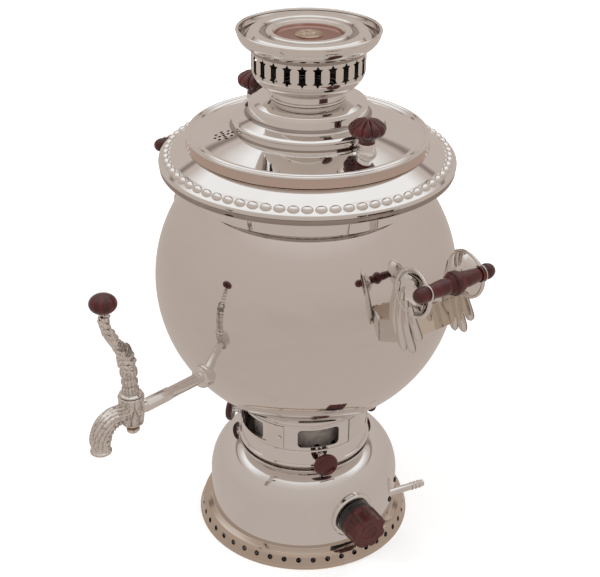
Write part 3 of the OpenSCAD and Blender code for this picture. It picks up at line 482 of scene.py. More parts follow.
brass = working("dull_brass", (0.62, 0.44, 0.20, 1), (0.36, 0.24, 0.11, 1), rough=0.28)
iron = working("burner_iron", (0.06, 0.058, 0.055, 1), (0.10, 0.07, 0.05, 1), 0.6, 0.6, 120, 0.0004)
# Dark, used as painted shade on faces that look inwards.
inner_shade = working("sooted_steel", (0.13, 0.115, 0.10, 1), (0.05, 0.042, 0.036, 1), 0.7, 0.5, 90, 0.0003)
# Heat grey for the flame guard, also used as painted shade inside the sleeve.
heat_grey_and_shade = working("heat_greyed_steel", (0.42, 0.37, 0.34, 1), (0.24, 0.20, 0.18, 1), 0.35, 0.5, 150, 0.0004)
plain_steel = working("plain_steel", (0.56, 0.55, 0.54, 1), (0.38, 0.36, 0.34, 1), rough=0.3)
rubber = working("rubber", (0.02, 0.02, 0.021, 1), (0.045, 0.043, 0.04, 1), 0.0, 0.7, 90, 0.0002)
tinted = working("tinted_rosette", (0.62, 0.52, 0.40, 1), (0.30, 0.16, 0.10, 1), rough=0.22, scale=140)
plain_finish = {"brass": brass, "cast_iron": iron, "plain_steel": plain_steel, "rubber_seal": rubber,
                "polished_steel": sheet_base, "plated_casting": bright_turned,
                "red_brown_plastic": resin, "black_plastic": black_resin, "tinted_brass": tinted}
slots = {s["node"]: s["material_slot"] for s in frame["record"]["subparts"]}
for name, node in nodes.items():
    node.data.materials.clear()
    node.data.materials.append(plain_finish[slots[name]])
print("CAD nodes finished:", len(nodes))

# %% [markdown]
# The stage is a plain pale floor under soft light. Mirror metal shows its surroundings more than
# itself, so the studio also needs something warm to mirror. A tent of beige cloth stands round the
# samovar with its top open to a bright white ceiling, and a sheet of the same cloth lies on the
# floor. On its far side the tent has a dark beam and a bright gap above it, which give the lid and
# the steps their contrast. The camera does not see the cloth, only the metal does. Far out the
# floor brightens to the white of the background, so no horizon shows.

# %% Floor, tent and light
def stage_mesh(name, verts, faces, material):
    """A piece of the stage, which isn't part of the object."""
    mesh = bpy.data.meshes.new(name)
    mesh.from_pydata(verts, [], faces)
    mesh.materials.append(material)
    made = bpy.data.objects.new(name, mesh)
    scene.collection.objects.link(made)
    return made


def seen_rays(graph):
    """1 for what the camera sees, straight or in metal or through glass."""
    path = graph.node("ShaderNodeLightPath").socket.node
    camera_ray, glossy, clear = [Wire(graph, path.outputs[k]) for k in
                                 ("Is Camera Ray", "Is Glossy Ray", "Is Transmission Ray")]
    return camera_ray.most(glossy).most(clear)


world = bpy.data.worlds.new("studio")
world.use_nodes = True
scene.world = world
sky = Graph(world.node_tree)
sky.tree.nodes.clear()
white = sky.node("ShaderNodeBackground", None, {"Color": (1, 1, 1, 1), "Strength": 1.0})
soft = sky.node("ShaderNodeBackground", None, {"Color": (1.0, 0.985, 0.97, 1), "Strength": 0.62})
both = sky.node("ShaderNodeMixShader", None, {0: seen_rays(sky), 1: soft, 2: white})
sky.feed(sky.tree.nodes.new("ShaderNodeOutputWorld").inputs["Surface"], both)

ground = Finish("floor", bare=True)
matt = ground.node("ShaderNodeBsdfDiffuse", None, {"Color": (0.8, 0.8, 0.8, 1)})
from_axis = ground.node("ShaderNodeVectorMath", {"operation": "LENGTH"}, {0: ground.place}, out="Value")
brighter = from_axis.between(0.098, 0.1) * 0.42 + from_axis.between(0.6, 1.5) * 0.9
lift = ground.shine((1, 1, 1, 1), seen_rays(ground) * brighter)
floor_look = ground.show(ground.node("ShaderNodeAddShader", None, {0: matt, 1: lift}))
stage_mesh("floor", [(-4, -4, 0), (4, -4, 0), (4, 4, 0), (-4, 4, 0)], [(0, 1, 2, 3)], floor_look)


def tent_look():
    """Beige cloth that gets paler towards its open top, with a dark beam and a bright gap on the far side."""
    cloth = Finish("tent_cloth", bare=True)
    x, y, z = cloth.axes()
    fold = cloth.noise(1.2, 2)
    far = (y * 0.725 - x * 0.688) / (x * x + y * y + 0.01).root()
    beam = far.between(0.1, 0.5) * z.between(1.36, 1.44) * z.between(1.48, 1.56, 1.0, 0.0) * 0.8
    glow = far.between(-0.35, 0.25) * z.between(1.65, 1.95)
    shade = cloth.node("ShaderNodeValToRGB", {"stops": [
        (0.0, (0.54, 0.47, 0.425)), (0.2, (0.56, 0.49, 0.445)), (0.55, (0.58, 0.51, 0.47)),
        (0.8, (0.68, 0.62, 0.585)), (1.0, (0.92, 0.90, 0.89))]}, {"Fac": z / 2.8 + fold * 0.06 - 0.03})
    shade = cloth.mix(beam, cloth.mix(glow, shade, (0.98, 0.98, 0.98, 1)), (0.2, 0.15, 0.13, 1))
    return cloth.show(cloth.shine(shade))


def tent(name, profile, look):
    """Cloth turned round the axis, seen only in mirrors; its profile is in metres."""
    around = 64
    verts = [(r * math.cos(2 * math.pi * j / around), r * math.sin(2 * math.pi * j / around), z)
             for j in range(around) for r, z in profile]
    n = len(profile)
    faces = [(j * n + i, (j + 1) % around * n + i, (j + 1) % around * n + i + 1, j * n + i + 1)
             for j in range(around) for i in range(n - 1)]
    made = stage_mesh(name, verts, faces, look)
    made.visible_camera = made.visible_diffuse = made.visible_shadow = False
    made.visible_transmission = made.visible_volume_scatter = False
    return made


tent("tent_wall", [(1.9, 0.0002), (1.9, 0.5), (1.9, 1.1), (1.8, 1.7), (1.55, 2.2), (1.2, 2.6), (0.95, 2.8)],
     tent_look())
floor_cloth = Finish("floor_cloth", bare=True)
tent("tent_floor_cloth", [(0.1025, 0.0006), (1.9, 0.0006)],
     floor_cloth.show(floor_cloth.shine((0.54, 0.47, 0.425, 1))))


def lamp(name, place, aim, size, power):
    """A soft window of light that mirrors don't show; power in watts."""
    data = bpy.data.lights.new(name, "AREA")
    data.shape, data.size, data.size_y = "RECTANGLE", size[0], size[1]
    data.energy = power
    made = bpy.data.objects.new(name, data)
    made.matrix_world = Matrix.Translation(Vector(place)) @ (Vector(aim) - Vector(place)).to_track_quat(
        "-Z", "Y").to_matrix().to_4x4()
    scene.collection.objects.link(made)
    made.visible_glossy = False
    return made


lamp("key", (-0.9, -1.5, 1.7), (0, 0, 0.25), (0.9, 0.9), 16)
lamp("fill", (1.6, -0.2, 1.2), (0, 0, 0.25), (1.1, 0.8), 7)
lamp("back", (-0.3, 1.5, 1.6), (0, 0, 0.3), (1.2, 0.6), 7)
print("stage: a floor, a tent and three lamps")

# %% [markdown]
# Rows of holes, beads and petals all follow one rule: the same thing again, so many degrees further
# round the axis. One Geometry Nodes tree says that once, with named inputs for the piece, how many,
# the first angle and the step. A second tree uses the row as cutters, as a punch and die would.

# %% Round rows with Geometry Nodes
class Tree(Graph):
    """A Geometry Nodes tree with named inputs."""

    def __init__(self, name, inputs):
        tree = bpy.data.node_groups.new(name, "GeometryNodeTree")
        super().__init__(tree)
        self.ids = {n: tree.interface.new_socket(
            n, in_out="INPUT", socket_type="NodeSocket" + kind).identifier for n, kind in inputs}
        tree.interface.new_socket("Geometry", in_out="OUTPUT", socket_type="NodeSocketGeometry")
        source = tree.nodes.new("NodeGroupInput")
        self.inputs = {n: Wire(self, source.outputs[n]) for n, kind in inputs}
        self.end = tree.nodes.new("NodeGroupOutput")

    def finish(self, geometry):
        """Ends the tree: real geometry, dressed with the material it was given."""
        real = self.node("GeometryNodeRealizeInstances", None, {0: geometry})
        dressed = self.node("GeometryNodeSetMaterial", None, {
            "Geometry": real, "Material": self.inputs["Finish"]})
        self.feed(self.end.inputs[0], dressed)

    def shape(self, key):
        """The geometry of the object in an input."""
        return self.node("GeometryNodeObjectInfo", {"transform_space": "ORIGINAL"}, {
            "Object": self.inputs[key]}, out="Geometry")

    def row(self):
        """The piece, repeated round the Z axis."""
        at = self.node("GeometryNodeMeshLine", {"mode": "OFFSET"}, {
            "Count": self.inputs["Count"], "Start Location": (0, 0, 0), "Offset": (0, 0, 0)})
        turn = self.node("GeometryNodeInputIndex") * self.inputs["Step"] + self.inputs["First"]
        spin = self.node("ShaderNodeCombineXYZ", None, {0: 0.0, 1: 0.0, 2: turn * math.radians(1)})
        return self.node("GeometryNodeInstanceOnPoints", None, {
            "Points": at, "Instance": self.shape("Piece"), "Rotation": spin})


ROW = [("Piece", "Object"), ("Count", "Int"), ("First", "Float"), ("Step", "Float"), ("Finish", "Material")]
round_row = Tree("round_row", ROW)
round_row.finish(round_row.row())

punched = Tree("punched_sheet", [("Sheet", "Object")] + ROW)
tools = punched.node("GeometryNodeRealizeInstances", None, {0: punched.row()})
punched.finish(punched.node("GeometryNodeMeshBoolean", {"operation": "DIFFERENCE", "solver": "EXACT"}, {
    0: punched.shape("Sheet"), 1: tools}))
print("trees:", [tree.tree.name for tree in (round_row, punched)])


def grown(name, tree, **values):
    """Runs a tree and keeps its result as a plain mesh; the pieces that fed it are removed."""
    host = bpy.data.objects.new(name + "_host", bpy.data.meshes.new(name + "_host"))
    scene.collection.objects.link(host)
    rule = host.modifiers.new("rule", "NODES")
    rule.node_group = tree.tree
    for key, value in values.items():
        rule[tree.ids[key]] = value
    bpy.context.view_layer.update()
    mesh = bpy.data.meshes.new_from_object(host.evaluated_get(bpy.context.evaluated_depsgraph_get()))
    mesh.name = name
    bpy.data.objects.remove(host)
    for key in ("Piece", "Sheet"):
        if key in values:
            bpy.data.objects.remove(values[key])
    made = bpy.data.objects.new(name, mesh)
    scene.collection.objects.link(made)
    if not mesh.materials or mesh.materials[0] is None:
        mesh.materials.clear()
        mesh.materials.append(values["Finish"])
    return made


def lathe_normals(piece):
    """Gives a punched sheet the normals of the turned surface, so that it still mirrors cleanly."""
    mesh = piece.data
    smooth(mesh)
    flat, around = {}, {}
    for poly in mesh.polygons:
        c, n = poly.center, poly.normal
        r = math.hypot(c.x, c.y) or 1e-9
        out, side = (n.x * c.x + n.y * c.y) / r, (n.y * c.x - n.x * c.y) / r
        if abs(side) < 0.12 and (abs(out) + abs(n.z)) > 0.9:
            size = math.hypot(out, n.z)
            flat[poly.index] = (out / size, n.z / size, poly.area)
            for v in poly.vertices:
                around.setdefault(v, []).append(flat[poly.index])
    near = math.cos(math.radians(32))
    normals = []
    for poly in mesh.polygons:
        for v in poly.vertices:
            if poly.index not in flat:
                normals.append(tuple(poly.normal))
                continue
            own, p = flat[poly.index], mesh.vertices[v].co
            groups = {(round(f[0], 3), round(f[1], 3)) for f in around[v]}
            same = [f for f in groups if f[0] * own[0] + f[1] * own[1] > near]
            out, up = sum(f[0] for f in same), sum(f[1] for f in same)
            size, r = math.hypot(out, up), math.hypot(p.x, p.y) or 1e-9
            normals.append((out / size * p.x / r, out / size * p.y / r, up / size))
    mesh.normals_split_custom_set(normals)
    return piece


def shade_inside(piece, material, top=1000):
    """Gives the faces that look towards the axis a darker finish of their own: painted shade inside the piece."""
    mesh = piece.data
    mesh.materials.append(material)
    for poly in mesh.polygons:
        c, n = poly.center, poly.normal
        if c.z < top * MM and n.x * c.x + n.y * c.y < -0.2 * math.hypot(c.x, c.y):
            poly.material_index = len(mesh.materials) - 1
    return piece


# %% [markdown]
# Three more helpers finish the set. A peg is the punch for a hole. `done` ties a finished piece to
# the body it moves with and names the CAD nodes that it stands for.

# %% Punches and the last step
def peg(name, length, outline, start=0.0):
    """A straight prism along +X from a flat outline of (sideways, up) points; a cutter."""
    n = len(outline)
    verts = [(start + length * k, p[0], p[1]) for k in (0, 1) for p in outline]
    faces = [tuple(range(n)), tuple(range(2 * n - 1, n - 1, -1))]
    faces += [(i, i + n, (i + 1) % n + n, (i + 1) % n) for i in range(n)]
    return new_piece(name, verts, faces, merge=False)


def ring(radius, centre=(0, 0), steps=24):
    """Points on a circle."""
    return [(centre[0] + radius * math.cos(2 * math.pi * k / steps),
             centre[1] + radius * math.sin(2 * math.pi * k / steps)) for k in range(steps)]


def done(piece, body, *replaced, slot):
    """Rides the piece on its body and lets it stand for the CAD nodes it details."""
    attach(piece, body)
    if replaced:
        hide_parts(*replaced)
    print(f"{piece.name}: {sum(len(p.vertices) - 2 for p in piece.data.polygons)} triangles")


# %% [markdown]
# The foot is one band of sheet, rolled to a soft edge at the bottom and turned in under itself. A
# row of round holes lets the burner draw air. The band is turned first and punched afterwards, and
# then it gets the normals of the turned surface back, so that the mirror doesn't break at the holes.

# %% Foot ring
foot_line = rounded([(94.8, 0), (101.6, 0, 1.2), (102, 1.4), (102, 2.8, 0.8), (100.9, 4.1, 0.8), (98.6, 12.3, 1.6),
                     (95.6, 15.1, 1.6), (90, 16, 0.5), (87.8, 16)], 0.8, 4)
foot_sheet = turned("foot_sheet", walled(foot_line, 1.3), sheet_base, 276)
air_hole = peg("air_hole", 16, ring(2.5, (0, 9.9), 20), 91)
AIR_HOLES = 46
foot_ring = grown("foot_ring", punched, Sheet=foot_sheet, Piece=air_hole, Count=AIR_HOLES,
                  First=0.8 * 360 / AIR_HOLES, Step=360 / AIR_HOLES, Finish=sheet_base)
done(lathe_normals(foot_ring), "samovar", "base_foot_ring", slot="polished_steel")

# %% [markdown]
# The dome over the burner is a deep spun shell: a straight wall that rolls over into a broad
# shoulder and ends at the upstand that locates the neck. Its outline is a quarter ellipse, so the
# reflections stretch as they climb it.

# %% Base dome and the ring that stands on it
DOME_R, DOME_IN, SHOULDER, DOME_TOP = 90, 61, 47, 86


def dome_radius(height):
    """The dome's outer radius at a height."""
    if height <= SHOULDER:
        return DOME_R
    share = min((height - SHOULDER) / (DOME_TOP - SHOULDER), 1)
    return DOME_IN + (DOME_R - DOME_IN) * math.sqrt(1 - share * share)


dome_line = [(DOME_R, 16), (DOME_R, 30)]
dome_line += arc((DOME_IN, SHOULDER), (DOME_R - DOME_IN, DOME_TOP - SHOULDER), 0, 90, 40)
dome = turned("base_dome_shell", walled(dome_line + [(58.2, DOME_TOP)], 1.2), sheet_base, 320)
done(dome, "samovar", "base_dome", slot="polished_steel")
stand = turned("upstand", walled(rounded([(58.2, 80), (58.2, 102.4), (57.8, 103)], 0.3), 1.1), sheet_base, 192)
done(stand, "samovar", "upstand_ring", slot="polished_steel")
guard_line = rounded([(56.9, 86), (48.7, 86, 0.5), (48.2, 86.8, 0.4), (48.2, 125)], 0.4)
guard = turned("flame_guard_sleeve", walled(guard_line, -0.9), heat_grey_and_shade, 160)
guard_hole = peg("guard_hole", 8, ring(2.6, (0, 102), 16), 44)
guard = grown("flame_guard_shell", punched, Sheet=guard, Piece=guard_hole, Count=18, First=8.0, Step=20.0,
              Finish=heat_grey_and_shade)
# The guard's inner faces are darkened as painted shade.
done(shade_inside(lathe_normals(guard), inner_shade), "samovar", "flame_guard", slot="plain_steel")

# %% [markdown]
# The gas knob works a valve inside the base. From outside in it is a plain ring pressed against the
# dome, a black skirt with two fine grooves, and a fluted cone of red-brown resin. The flutes are
# hollow scallops between straight ridges, so the fingers find a hold at any angle.

# %% Gas knob, skirt and bezel
GAS_TURN, GAS_Z = -15.5, 46.0
gas_way = Vector((math.cos(math.radians(GAS_TURN)), math.sin(math.radians(GAS_TURN)), 0))


def on_gas_axis(piece):
    """Lays a piece turned round +Z along the gas valve's axis."""
    return moved(piece, pose((0, 0, GAS_Z), gas_way))


def bezel_depth(r, x, a):
    """Keeps the bezel's back inside the dome's wall, wherever that wall is."""
    if x > 0:
        return r, x
    side, height = r * math.sin(a), GAS_Z - r * math.cos(a)
    return r, math.sqrt(max(dome_radius(height) ** 2 - side ** 2, 1)) - 0.5


bezel_line = rounded([(4.8, -1), (4.8, 91.0), (16.4, 91.0), (17.6, 92.0, 0.6), (20.6, 92.2, 0.9),
                      (22, 90.6, 1.2), (22, -1)], 0.3, 4)
bezel = on_gas_axis(turned("bezel_ring", bezel_line, bright_turned, 160, shape=bezel_depth))
done(bezel, "samovar", "knob_bezel", slot="polished_steel")

skirt_line = rounded([(4.2, 92.5), (16.9, 92.5), (17.7, 93.2, 0.6), (17.7, 94.7), (17.2, 95.0), (17.2, 95.3),
                      (17.7, 95.6), (17.7, 97.6), (17.2, 97.9), (17.2, 98.2), (17.6, 98.5), (17.2, 100.1, 0.5),
                      (16.3, 101), (4.2, 101)], 0.2, 3)
done(on_gas_axis(turned("knob_skirt_ring", skirt_line, black_resin, 128)), "gas_control", "knob_skirt",
     slot="black_plastic")

FLUTES = 7


def fluted(r, x, a):
    """Scoops hollows out of the cone between its ridges, from behind the foot ring to the face."""
    way = ((a / (2 * math.pi) * FLUTES) % 1 - 0.5) * 2 * math.pi / FLUTES
    far = 22.6 - 0.07 * (x - 104)
    reach = 7.5 ** 2 - (far * math.sin(way)) ** 2
    if r < 13.5 or reach <= 0:
        return r, x
    start = held((x - 103.4) / 1.6)
    deep = max(r - far * math.cos(way) + math.sqrt(reach), 0)
    return r - start * (math.hypot(deep, 0.35) - 0.35), x


knob_line = [(0, 101), (17.2, 101)] + rounded([(17.2, 101), (18, 101.8, 0.6), (18, 103.2, 0.8)], 0.6, 4)
knob_line += [(18 - 0.6 * k / 14, 103.6 + 14.2 * k / 14) for k in range(15)]
knob_line += arc((16.0, 117.8), (1.4, 1.3), 8, 90, 7)
knob_line += rounded([(13.4, 119.0), (9.2, 118.9, 0.3), (8.8, 119.45, 0.3), (7.2, 119.45, 0.3), (6.6, 118.5, 0.4),
                      (2.4, 118.4, 0.3), (2.0, 118.8, 0.3), (0, 118.8)], 0.4, 4)
gas_knob = on_gas_axis(turned("gas_knob_cone", knob_line, resin, FLUTES * 36, angle=38, shape=fluted))
done(gas_knob, "gas_control", "gas_knob", slot="red_brown_plastic")

# %% [markdown]
# The neck between base and bowl is a sleeve with five windows, so that air reaches the flame. A
# second band with slots of its own can be turned round the sleeve by a small pin: that shuts the
# windows bit by bit. The band doesn't close its circle, so it springs tight. The sleeve's foot is
# covered by a stepped skirt, and three thumb screws go through both into the base.

# %% Neck sleeve, skirt and shutter
def wall_window(half, low, high, corner, steps=5):
    """Outline of a window with rounded corners, in (sideways, up) points."""
    out = []
    for cx, cz, start in ((half - corner, high - corner, 0), (corner - half, high - corner, 90),
                          (corner - half, low + corner, 180), (half - corner, low + corner, 270)):
        for k in range(steps + 1):
            x, z = polar(start + 90 * k / steps, corner)[:2]
            out.append((cx + x, cz + z))
    return out


COLLAR_R, WINDOW_LOW, WINDOW_HIGH = 59.5, 108.5, 127.5
window_half = COLLAR_R * math.sin(math.radians(19))
sleeve_line = [(COLLAR_R, z) for z in (86, 104, 118, 137.0)]
sleeve = turned("sleeve", walled(sleeve_line, 1.0), sheet_base, 250)
window_tool = peg("window_tool", 30, wall_window(window_half, WINDOW_LOW, WINDOW_HIGH, 4), 45)
sleeve = lathe_normals(grown("sleeve_cut", punched, Sheet=sleeve, Piece=window_tool, Count=5, First=-33.0,
                             Step=72.0, Finish=sheet_base))
bead_ring = turned("sleeve_bead", rounded([(59.4, 130.3), (60.3, 130.3), (60.7, 131.2, 0.5), (60.3, 132.1),
                                           (59.4, 132.1)], 0.4), sheet_base, 250)
sleeve_normals = [tuple(n.vector) for n in sleeve.data.corner_normals]
bead_normals = [tuple(n.vector) for n in bead_ring.data.corner_normals]
neck_collar = joined("neck_sleeve", [sleeve, bead_ring], sheet_base)
neck_collar.data.polygons.foreach_set("use_smooth", [True] * len(neck_collar.data.polygons))
neck_collar.data.normals_split_custom_set(sleeve_normals + bead_normals)
# The sleeve's inner faces get heat grey as painted shade.
done(shade_inside(neck_collar, heat_grey_and_shade), "samovar", "neck_collar", slot="polished_steel")

neck_line = rounded([(61.3, 88), (62.3, 88.4, 0.5), (62.3, 89.6, 0.5), (61.4, 90.8), (60.7, 91.2, 0.4),
                     (60.7, 104.2, 0.6), (60.1, 105), (59.6, 105), (59.6, 88)], 0.3, 4)
done(turned("neck_skirt_ring", neck_line, sheet_base, 250), "samovar", "neck_skirt", slot="polished_steel")


# %% Shutter band
def open_band(name, outline, start, end, steps, material):
    """A ring that stops short: the outline swept from one angle to another, with closed ends."""
    n = len(outline)
    verts = [(r * math.cos(a), r * math.sin(a), z)
             for a in np.radians(np.linspace(start, end, steps + 1)) for r, z in outline]
    faces = [(j * n + i, (j + 1) * n + i, (j + 1) * n + (i + 1) % n, j * n + (i + 1) % n)
             for j in range(steps) for i in range(n)]
    faces += [tuple(range(n)), tuple(steps * n + i for i in range(n - 1, -1, -1))]
    return new_piece(name, verts, faces, material)


band_line = rounded([(59.85, 105.5), (60.5, 105.5), (60.7, 105.8), (60.7, 129.7), (60.5, 130),
                     (59.85, 130)], 0.12, 2)
band = open_band("band", band_line, -2.5, 295.5, 250, sheet_crown)
slot_half = 60.25 * math.sin(math.radians(19))
slot_tool = peg("slot_tool", 20, wall_window(slot_half, WINDOW_LOW, WINDOW_HIGH, 0.6, 2), 50)
shutter = grown("shutter_ring", punched, Sheet=band, Piece=slot_tool, Count=4, First=-100.5, Step=-72.0,
                Finish=sheet_crown)
done(lathe_normals(shutter), "shutter", "shutter_band", slot="polished_steel")
pin_line = rounded([(0, 60.3), (1.5, 60.3), (1.5, 60.9), (2.3, 61.0, 0.3), (2.3, 61.7, 0.4), (1.4, 62.5, 0.5),
                    (0, 62.7)], 0.2, 4)
pin = moved(turned("shutter_grip", pin_line, bright_turned, 40),
            pose((0, 0, WINDOW_LOW + 0.46 * 19), polar(-68.5, 1)))
done(pin, "shutter", "shutter_pin", slot="polished_steel")

# %% [markdown]
# A thumb screw is a plated stem with a turned shoulder and a button of resin on its end. The button
# is a shallow dome with a rolled edge, and a fine step runs round its face where the mould closed.

# %% Thumb screws
screw_stem_line = rounded([(0, 58.6), (2.4, 58.6), (2.4, 63.4), (3.1, 63.8, 0.3), (3.1, 65.2, 0.3), (2.5, 65.8),
                           (2.5, 69.2, 0.6), (4.6, 71.4), (4.6, 71.55), (0, 71.55)], 0.3, 4)
screw_head_line = rounded([(0, 71.5), (9.4, 71.5), (10.9, 72.0, 0.6), (11.4, 73.4, 1.2), (11.2, 75.0, 1.2),
                           (9.9, 76.6, 0.8), (9.3, 76.7, 0.3), (8.9, 76.5, 0.3), (6, 77.4, 4), (0, 78, 3)], 0.5, 5)
for name, turn in (("front", -30.5), ("right", 73.5), ("left", 208.5)):
    place, body = pose((0, 0, 98), polar(turn, 1)), f"thumb_screw_{name}"
    stem = moved(turned(f"stem_{name}", screw_stem_line, bright_turned, 56), place)
    head = moved(turned(f"button_{name}", screw_head_line, resin, 96), place)
    done(stem, body, f"screw_stem_{name}", slot="plated_casting")
    done(head, body, f"screw_head_{name}", slot="red_brown_plastic")

# %% [markdown]
# The bowl is the samovar's showpiece: two deep halves of sheet joined to a ball and polished until
# no seam shows. Since it mirrors the whole room, its mesh must be finer than anything else here. A
# coarse ball would break the reflections into facets long before its outline did.

# %% Bowl
BOWL_R, BOWL_Z = 134.98, 258.0
mouth_up = math.degrees(math.acos(98 / 135))
hole_down = -math.degrees(math.acos(25.2 / 135))
outer_ball = [(r, z + BOWL_Z) for r, z in arc((0, 0), (BOWL_R, BOWL_R), hole_down, mouth_up, 150)]
inner_ball = [(r, z + BOWL_Z) for r, z in arc((0, 0), (133.8, 133.8), mouth_up, hole_down, 36)]
bowl = turned("bowl_ball", outer_ball + inner_ball, sheet_bowl, 360, angle=40)
done(bowl, "samovar", "bowl", slot="polished_steel")

# %% [markdown]
# Round the mouth lies a sloping flange with a rolled lip. A row of oval beads sits in the corner
# between slope and lip, pressed so close that they nearly touch. One bead is modelled as a small
# dome and the row tree sets it seventy times.

# %% Beaded flange
flange_line = rounded([(125.4, 364.6), (126.5, 364.9, 0.4), (126.9, 365.8, 0.5), (126.9, 367.6, 0.5),
                       (126.2, 368.7, 0.4), (126.4, 369.4, 0.3), (127.5, 370.2, 0.6), (127.6, 371.9, 0.7),
                       (127.2, 373.7, 0.8), (125.0, 374.7, 0.8), (119.0, 377.4, 1.2), (117.2, 378.9, 1),
                       (101.3, 386.0)], 0.4, 4)
collar_line = rounded([(102.5, 346.1), (103.7, 344.8), (103.7, 383.7), (102.5, 384.3)], 0.1, 2)
flange = joined("flange_ring", [turned("flange_skin", walled(flange_line, 1.1), sheet_lid, 300),
                                turned("flange_collar", collar_line, sheet_lid, 300)])
smooth(flange.data)
done(flange, "samovar", "mouth_flange", slot="polished_steel")


def dome_bead(name, half, place, lean, material):
    """A shallow oval dome with half sizes (radial, along the row, up), leaning outwards."""
    around, rings = 16, 6
    verts, faces = [(0, 0, half[2])], []
    for i in range(1, rings + 1):
        lift = math.pi / 2 * (1 - i / rings * 1.25)
        wide, high = math.cos(lift), math.sin(lift)
        for j in range(around):
            a = 2 * math.pi * j / around
            verts.append((half[0] * wide * math.cos(a), half[1] * wide * math.sin(a), half[2] * high))
    faces += [(0, 1 + j, 1 + (j + 1) % around) for j in range(around)]
    faces += [(1 + i * around + j, 1 + (i + 1) * around + j, 1 + (i + 1) * around + (j + 1) % around,
               1 + i * around + (j + 1) % around) for i in range(rings - 1) for j in range(around)]
    faces.append(tuple(1 + (rings - 1) * around + j for j in range(around - 1, -1, -1)))
    return moved(new_piece(name, verts, faces, material, angle=60),
                 Matrix.Translation(Vector(place) * MM) @ Matrix.Rotation(math.radians(lean), 4, "Y"))


BEADS = 70
bead = dome_bead("bead", (3.7, 5.15, 3.3), (121.2, 0, 376.2), 24, sheet_lid)
bead_row = grown("flange_beads", round_row, Piece=bead, Count=BEADS, First=0.0, Step=360 / BEADS,
                 Finish=sheet_lid)
smooth(bead_row.data, 60)
done(bead_row, "samovar", slot="polished_steel")

# %% [markdown]
# The lid lifts off. Its wall drops into the flange, its broad disc rises slowly to two steps in the
# middle, and a small rosette of steam holes is drilled near the front. The holes are thirteen
# upright punches in one tool.

# %% Lid plate
lid_line = rounded([(104.0, 386.4), (102.6, 392.9, 0.4), (103.5, 394.1, 0.5), (103.5, 395.2, 0.6), (102.6, 396.1, 0.6),
                    (101.1, 396.1, 0.4), (99.8, 395.0, 0.4), (98.5, 396.0, 0.5), (97.1, 396.0, 0.5), (95.4, 394.9, 0.4),
                    (94, 394.8, 0.8), (85, 396.85), (76, 398.95), (68, 400.8), (60, 402.6)], 0.3, 4)
lid_sheet = turned("lid_blank", walled(lid_line, 1.2), sheet_lid, 300)
steam_at = Vector(polar(-117, 74))
punches, upright = [], Matrix.Rotation(-math.pi / 2, 4, "Y")
for spread, holes in ((0, 1), (3.75, 4), (7.5, 8)):
    for k in range(holes):
        at = steam_at + Vector(polar(-117 + 360 * k / holes, spread))
        punch = peg(f"punch_{spread}_{k}", 16, ring(1.4, (0, 0), 14), 390)
        punches.append(moved(punch, Matrix.Translation(Vector((at.x, at.y, 0)) * MM) @ upright))
steam_tool = joined("steam_tool", punches)
lid_plate = grown("lid_disc", punched, Sheet=lid_sheet, Piece=steam_tool, Count=1, First=0.0, Step=0.0,
                  Finish=sheet_lid)
done(lathe_normals(lid_plate), "lid", "lid_plate", slot="polished_steel")

# %% [markdown]
# Two stepped rings and a short chimney carry the lid up to the crown. Each step is a soft roll, not
# a corner: sheet can't be spun sharper than about its own thickness.

# %% Lid steps and chimney
steps_line = rounded([(64, 399.9), (64, 406.0, 0.8), (64.9, 407.2, 0.6), (64.7, 408.7, 0.9), (62.4, 410.2, 1.4),
                      (51.7, 413.0, 1.4), (50.5, 414.7, 1.2), (50.5, 420.2, 1.4), (49.0, 423.4, 2), (44.6, 425.3, 2.4),
                      (36, 426.2, 2), (30.5, 426.6)], 0.5, 5)
done(turned("lid_step_rings", walled(steps_line, 1.2), sheet_lid, 250), "lid", "lid_steps", slot="polished_steel")
chimney_line = rounded([(27.4, 420.8), (30.4, 420.8), (30.4, 426.6), (32.2, 426.7, 0.5), (32.8, 427.5, 0.6),
                        (32.2, 428.4, 0.5), (30.4, 428.8, 0.5), (30.4, 433.2, 0.4), (29.8, 433.7), (28.6, 433.8),
                        (28.6, 438.3), (28.2, 438.7), (27.4, 438.7)], 0.3, 4)
done(turned("lid_chimney", chimney_line, sheet_lid, 192), "lid", "lid_neck", slot="polished_steel")

# %% [markdown]
# The lid is lifted by two fat resin knobs on plated feet. They are ribbed like a melon: wide soft
# lobes with narrow creases between, strongest at the knob's widest part and gone at its top.

# %% Lid knobs
KNOB_MID, LOBES = 419.7, 11


def melon(r, z, a):
    """Presses creases into the knob between its lobes, square to its skin."""
    share = (a / (2 * math.pi) * LOBES) % 1
    crease = 1 - math.sin(math.pi * share) ** 0.5
    deep = 1.4 * crease * held((r - 1.2) / 6) * held((z - 412.6) / 2.0)
    out, rise = r / 15.5 ** 2, (z - KNOB_MID) / 8.5 ** 2
    size = math.hypot(out, rise) + 1e-9
    return max(r - deep * out / size, 0), z - deep * rise / size


knob_side = rounded([(0, 407.75), (7, 407.75, 0.5), (6.4, 409.7, 1), (7.6, 411.9, 0.8), (10.4, 413.3, 0.5)], 0.6, 4)
knob_side += arc((0, KNOB_MID), (15.5, 8.5), -46, 90, 30)
foot_side = rounded([(0, 397.4), (8.2, 397.4), (8.2, 400.6, 0.8), (7.2, 401.9, 0.8), (7, 406.9, 0.4), (6.6, 407.7),
                     (0, 407.7)], 0.5, 4)
feet, lobed = [], []
for k, turn in enumerate((-7.5, 172.5)):
    place = polar(turn, 75.5)
    feet.append(shifted(turned(f"foot_{k}", foot_side, bright_turned, 72), *place))
    lobed.append(shifted(turned(f"melon_{k}", knob_side, resin, LOBES * 16, angle=50, shape=melon), *place))
done(joined("lid_knob_feet", feet), "lid", "lid_knob_stems", slot="plated_casting")
done(joined("lid_knob_pair", lobed), "lid", "lid_knobs", slot="red_brown_plastic")
